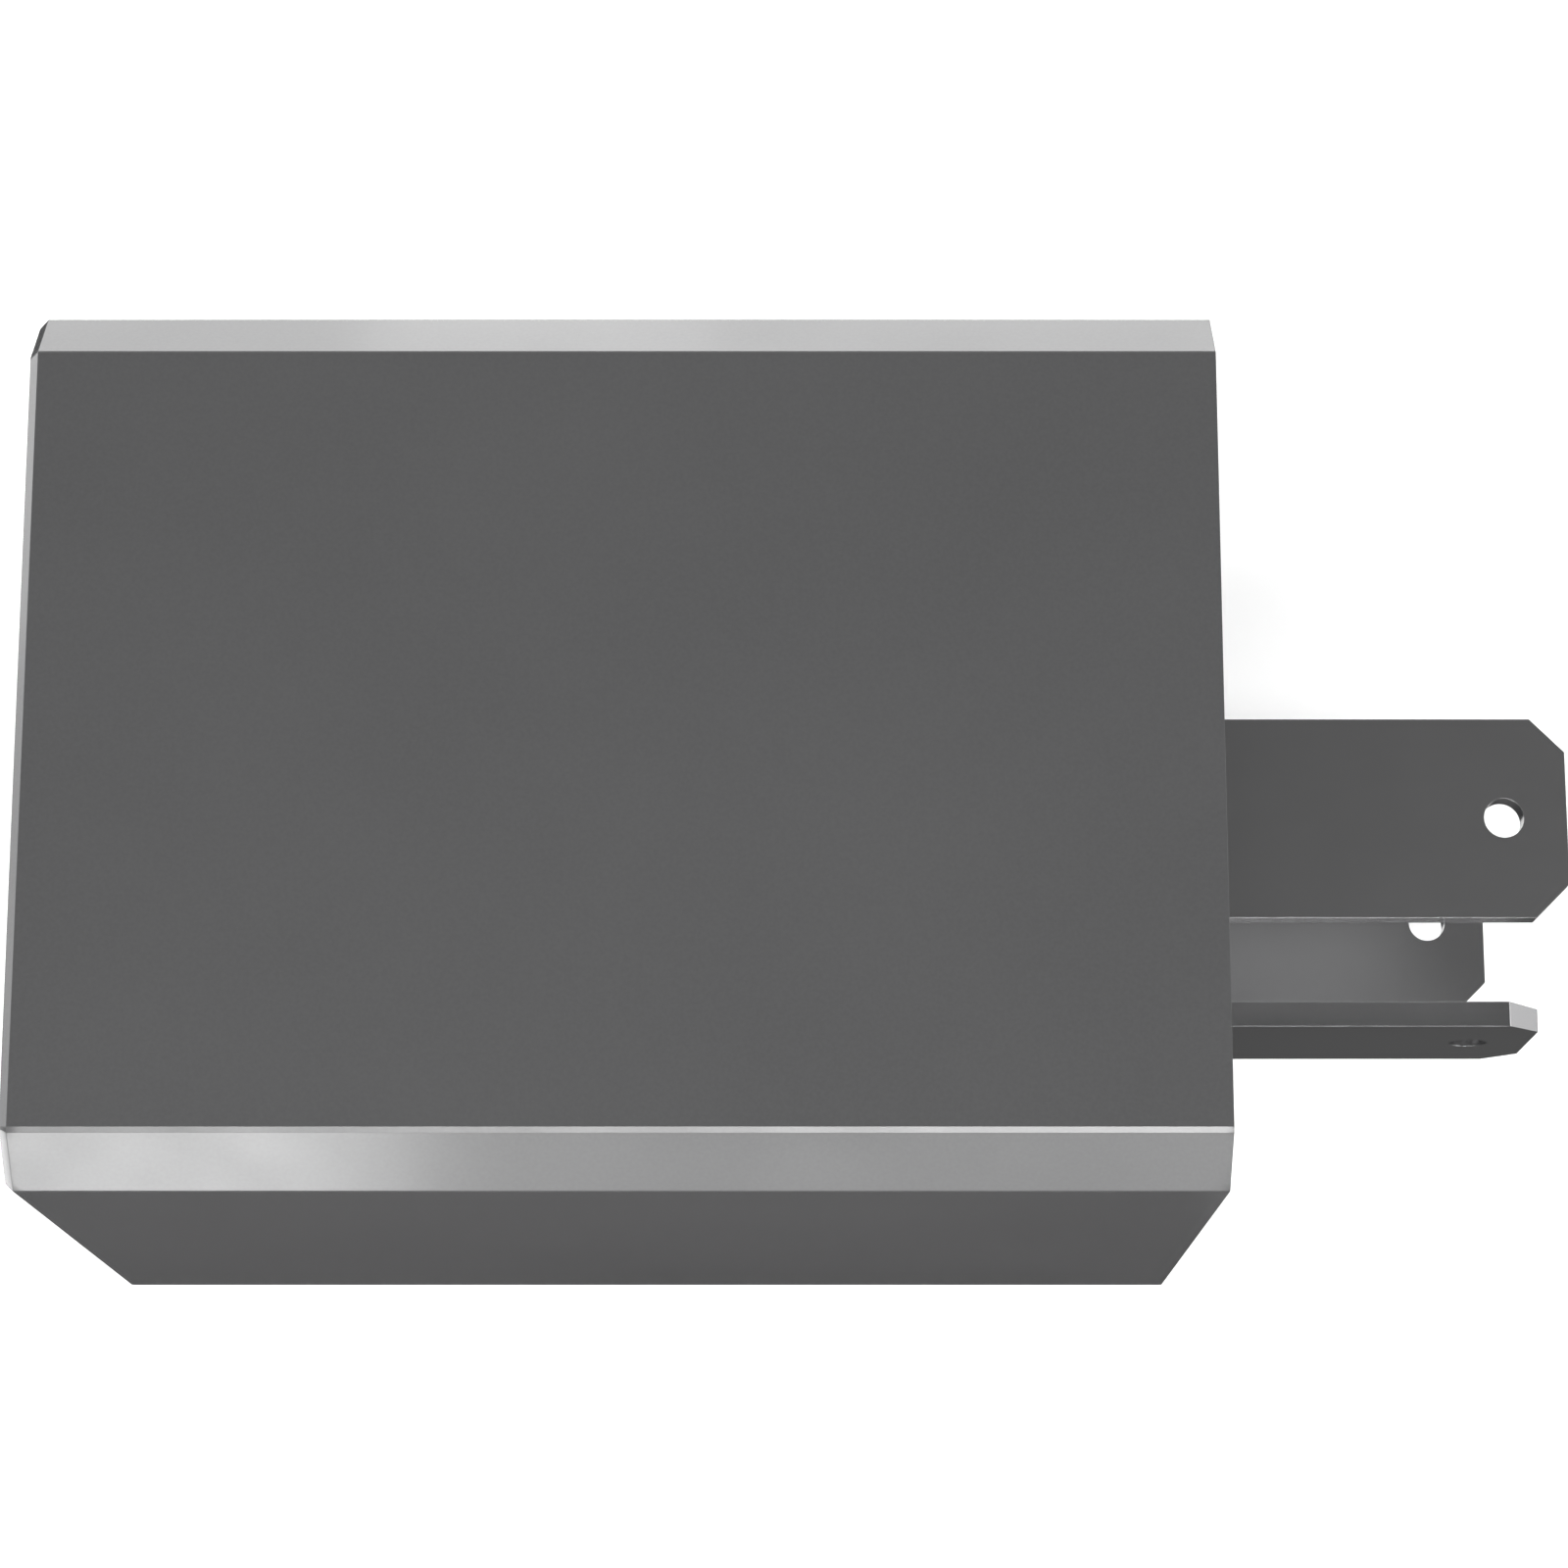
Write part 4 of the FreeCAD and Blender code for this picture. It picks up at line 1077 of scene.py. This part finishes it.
trackShape = {
    "thickness": 0.035 * mm,
    "growth": 0.02,             # each track is this share thicker than the last
    "sunk": 0.01 * mm,
    "underneath": [
        # width, then the corners as (x, z) in millimetres
        (1.8, [(-5.8, 8.3), (-5.8, 6.4), (-7.6, 4.6)]),
        (1.6, [(-13.2, 4.6), (-15.4, 4.6), (-17.0, 3.0), (-17.0, -3.2), (-14.6, -5.6), (-13.8, -5.6)]),
        (1.6, [(-9.8, -5.6), (-7.9, -5.6), (-7.9, -3.4), (-9.7, -1.9)]),
        (2.0, [(-5.8, -8.3), (-5.8, -10.9), (-32.6, -10.9), (-32.6, -8.0)]),
        (1.2, [(-9.7, 1.9), (-7.6, 1.9), (-7.6, -0.6), (-9.7, -1.9)]),
        (1.2, [(-12.0, 1.9), (-12.0, 3.0), (-15.6, 3.0), (-18.4, 6.0)]),
        (1.2, [(-12.0, -1.9), (-12.0, -3.0), (-15.9, -3.4), (-18.4, -6.0)]),
        (0.8, [(-18.4, 2.0), (-20.0, 2.0), (-20.0, -2.0), (-18.4, -2.0)]),
        (0.8, [(-32.4, 6.0), (-33.1, 5.3), (-33.1, -5.3), (-32.4, -6.0)]),
        (1.0, [(-9.75, 7.6), (-9.75, 10.9), (-12.9, 10.9), (-12.9, 10.2)]),
        (1.0, [(-13.25, 7.6), (-16.2, 7.6), (-17.5, 8.9), (-17.5, 10.2)]),
    ],
    "signalWidth": 0.3,
    "signalEnds": (-29.4, -26.6, -24.2, -21.4),    # x of the chip resistors
    "signalSteps": (2.7, 3.9, 5.2, 6.4),           # z where a track starts, bends twice and ends
    "leadInset": 0.21 * mm,                        # from the leads' box to the first lead's middle
}


def signalTracks():
    # thin tracks from each chip lead out to the row of chip resistors beside it
    s = trackShape
    low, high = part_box("controller_chip_leads")
    leadX = np.linspace(low.x + s["leadInset"], high.x - s["leadInset"], len(s["signalEnds"])) / mm
    return [(s["signalWidth"], [(x, side * z) for x, z in zip((lead, lead, end, end), s["signalSteps"])])
            for side in (-1, 1) for lead, end in zip(leadX, s["signalEnds"])]


def makeTracks():
    # no two tracks are equally thick, so that no faces coincide where they cross
    s = trackShape
    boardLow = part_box("main_board")[0].y
    surfaces = []
    for number, (width, points) in enumerate(s["underneath"] + signalTracks()):
        thickness = s["thickness"] * (1 + s["growth"] * number)
        surfaces.append(stripAlong(points, width * mm, boardLow - thickness, boardLow + s["sunk"]))
    addPiece("boardTracks", joined(surfaces), "board_laminate", material=coatedCopper())


legendShape = {
    "line": 0.16 * mm,
    "height": 0.065 * mm,
    "sunk": 0.01 * mm,
    "underneath": ("controller_chip", "fuse_caps", "diode_leads", "choke_core"),
    "onTop": ("output_capacitor", "transformer_bobbin"),
    "gap": 0.3 * mm,
    "circleGap": 0.5 * mm,
    "circleSteps": 49,
    "dot": 0.45 * mm,           # beside the chip's first lead
    "dotAway": (-0.3, 0.6),
    "bar": 0.35 * mm,           # at the diode's cathode
    "barAway": 0.75,
}


def frameRound(low, high, gap):
    # corners of a rectangle round a box, in millimetres, starting and ending midway along a side
    x0, x1 = (low.x - gap) / mm, (high.x + gap) / mm
    z0, z1 = (low.z - gap) / mm, (high.z + gap) / mm
    middle = (x0 + x1) / 2
    return [(middle, z0), (x1, z0), (x1, z1), (x0, z1), (x0, z0), (middle, z0)]


def makeLegend():
    # printed outlines round the larger parts, on both faces of the board
    s = legendShape
    boardLow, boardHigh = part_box("main_board")
    under = (boardLow.y - s["height"], boardLow.y + s["sunk"])
    over = (boardHigh.y - s["sunk"], boardHigh.y + s["height"])
    surfaces = [stripAlong(frameRound(*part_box(node), s["gap"]), s["line"], *face)
                for face, nodes in ((under, s["underneath"]), (over, s["onTop"])) for node in nodes]
    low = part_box("controller_chip_leads")[0]
    x, z = (low.x - s["gap"]) / mm + s["dotAway"][0], low.z / mm + s["dotAway"][1]
    surfaces.append(stripAlong([(x - s["dot"] / mm, z), (x, z)], s["dot"], *under))
    low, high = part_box("diode_leads")
    x = low.x / mm - s["barAway"]
    surfaces.append(stripAlong([(x, low.z / mm), (x, high.z / mm)], s["bar"], *under))
    centre, half = boxCentre("input_capacitor_can")
    turn = np.linspace(0, 2 * np.pi, s["circleSteps"])
    radius = (half.z + s["circleGap"]) / mm
    circle = np.column_stack([centre.x / mm + radius * np.cos(turn), centre.z / mm + radius * np.sin(turn)])
    surfaces.append(stripAlong(circle, s["line"], *over))
    addPiece("boardLegend", joined(surfaces), "board_laminate", material=legendInk())


makeSolder()
makeTracks()
makeLegend()
print("solder, tracks and legend made")


# light, floor and camera

studio = {
    "lens": 99.2,
    "cameraPlace": (-13.211, -31.018, 139.260),    # millimetres
    "cameraDown": 76.816,             # degrees below level
    "floor": (0.96, 0.96, 0.96),
    "floorHalf": 1.5,
    "floorGlow": 0.14,                # lifts the soft shadow
    "backdrop": 1.0,                  # what the camera sees beyond the floor
    "overhead": (0.0, 0.26, 0.97),    # the way to the ceiling's patch that the flat faces mirror
    "roomBrightest": 4.0,
    # brightness of the room by the cosine of the angle from the overhead patch
    "room": [(-1.0, 0.045), (-0.02, 0.045), (0.0, 2.15), (0.40, 2.15), (0.80, 0.14), (1.0, 0.10)],
    "panels": [
        # name, place, faces, size, brightness
        ("leftSoftbox", (-0.50, 0.05, 0.38), (0, 0, 0), (0.40, 0.30), 1.5),
        ("rightSoftbox", (0.50, 0.05, 0.38), (0, 0, 0), (0.40, 0.30), 1.5),
        ("overFrontStrip", (-0.015, -0.045, 0.095), (-0.015, -0.012, 0.013), (0.066, 0.012), 7.5),
        ("rearStripLeft", (-0.0555, 0.060, -0.004), (-0.0555, 0, -0.004), (0.049, 0.018), 3.5),
        ("rearStrip", (-0.0235, 0.060, -0.004), (-0.0235, 0, -0.004), (0.015, 0.018), 4.4),
        ("rearStripRight", (0.018, 0.060, -0.004), (0.018, 0, -0.004), (0.068, 0.018), 3.9),
        ("frontSoftbox", (0.0275, -0.150, 0.198), (0.0275, -0.013, 0.013), (0.09, 0.045), 16.0),
        ("frontLeftSoftbox", (-0.054, -0.150, 0.198), (-0.054, -0.013, 0.013), (0.073, 0.014), 18.0),
        ("frontStrip", (0.0005, -0.075, 0.022), (0.0005, 0, 0.010), (0.062, 0.0115), 4.4),
        ("frontLeftStrip", (-0.047, -0.075, 0.022), (-0.047, 0, 0.010), (0.033, 0.0115), 13.8),
        ("leftStripFar", (-0.100, 0.040, 0.0), (0, 0.040, 0.0), (0.040, 0.028), 4.3),
        ("leftStripNear", (-0.100, 0.0, 0.0), (0, 0.0, 0.0), (0.040, 0.028), 2.7),
        ("cornerStrip", (-0.083, -0.031, -0.022), (-0.0363, -0.013, 0.013), (0.026, 0.026), 5.35),
        ("rightStrip", (0.060, 0.008, -0.004), (0.011, -0.005, -0.004), (0.04, 0.017), 0.8),
        ("underStrip", (0.0135, -0.012, -0.020), (0.0135, -0.012, 0), (0.022, 0.020), 0.05),
        ("underRearStrip", (0.0095, 0.006, -0.020), (0.0095, 0.006, 0), (0.017, 0.010), 1.2),
    ],
}


def makeFloor():
    low, side = cadBox[0].z, studio["floorHalf"]
    mesh = bpy.data.meshes.new("floor")
    mesh.from_pydata([(-side, -side, low), (side, -side, low), (side, side, low), (-side, side, low)],
                     [], [(0, 1, 2, 3)])
    material = newMaterial("floorPaper", Base_Color=(*studio["floor"], 1), Roughness=0.9,
                           Specular_IOR_Level=0.0, Emission_Color=(1, 1, 1, 1),
                           Emission_Strength=studio["floorGlow"])[0]
    mesh.materials.append(material)
    floor = bpy.data.objects.new("floor", mesh)
    floor.visible_glossy = False
    scene.collection.objects.link(floor)


def makeRoom():
    # the room's brightness by the cosine of the angle from the overhead patch, and for the camera
    # alone a plain white backdrop
    world = bpy.data.worlds.new("studio")
    world.use_nodes = True
    tree = world.node_tree
    brightest = studio["roomBrightest"]
    overhead = addNode(tree, "VectorMath")
    overhead.operation = "DOT_PRODUCT"
    overhead.inputs[1].default_value = studio["overhead"]
    tree.links.new(addNode(tree, "TexCoord").outputs["Generated"], overhead.inputs[0])
    share = calculate(tree, "MULTIPLY_ADD", overhead.outputs["Value"], 0.5, 0.5)
    ramp = addNode(tree, "ValToRGB", Fac=share)
    stops = ramp.color_ramp.elements
    while len(stops) < len(studio["room"]):
        stops.new(0.5)
    for stop, (cosine, brightness) in zip(stops, studio["room"]):
        stop.position = cosine / 2 + 0.5
        stop.color = (*[brightness / brightest] * 3, 1)
    room = tree.nodes["Background"]
    setSockets(tree, room, {"Color": ramp.outputs["Color"], "Strength": brightest})
    backdrop = addNode(tree, "Background", Color=(1, 1, 1, 1), Strength=studio["backdrop"])
    either = addNode(tree, "MixShader", Fac=addNode(tree, "LightPath").outputs["Is Camera Ray"])
    tree.links.new(room.outputs[0], either.inputs[1])
    tree.links.new(backdrop.outputs[0], either.inputs[2])
    setSockets(tree, tree.nodes["World Output"], {"Surface": either.outputs[0]})
    scene.world = world


def makePanels():
    for name, place, faces, size, brightness in studio["panels"]:
        light = bpy.data.lights.new(name, "AREA")
        light.shape = "RECTANGLE"
        light.size, light.size_y = size
        light.energy = brightness * np.pi * size[0] * size[1]
        panel = bpy.data.objects.new(name, light)
        panel.location = place
        panel.rotation_euler = (Vector(faces) - Vector(place)).to_track_quat("-Z", "Y").to_euler()
        panel.visible_camera = False
        scene.collection.objects.link(panel)


def makeCamera():
    data = bpy.data.cameras.new("camera")
    data.sensor_width = 36
    data.lens = studio["lens"]
    data.clip_start, data.clip_end = 0.01, 10
    camera = bpy.data.objects.new("camera", data)
    camera.location = Vector(studio["cameraPlace"]) * mm
    camera.rotation_euler = (np.radians(90 - studio["cameraDown"]), 0, 0)
    scene.collection.objects.link(camera)
    scene.camera = camera


makeFloor()
makeRoom()
makePanels()
makeCamera()
scene.view_settings.view_transform = "Standard"
print("studio made")
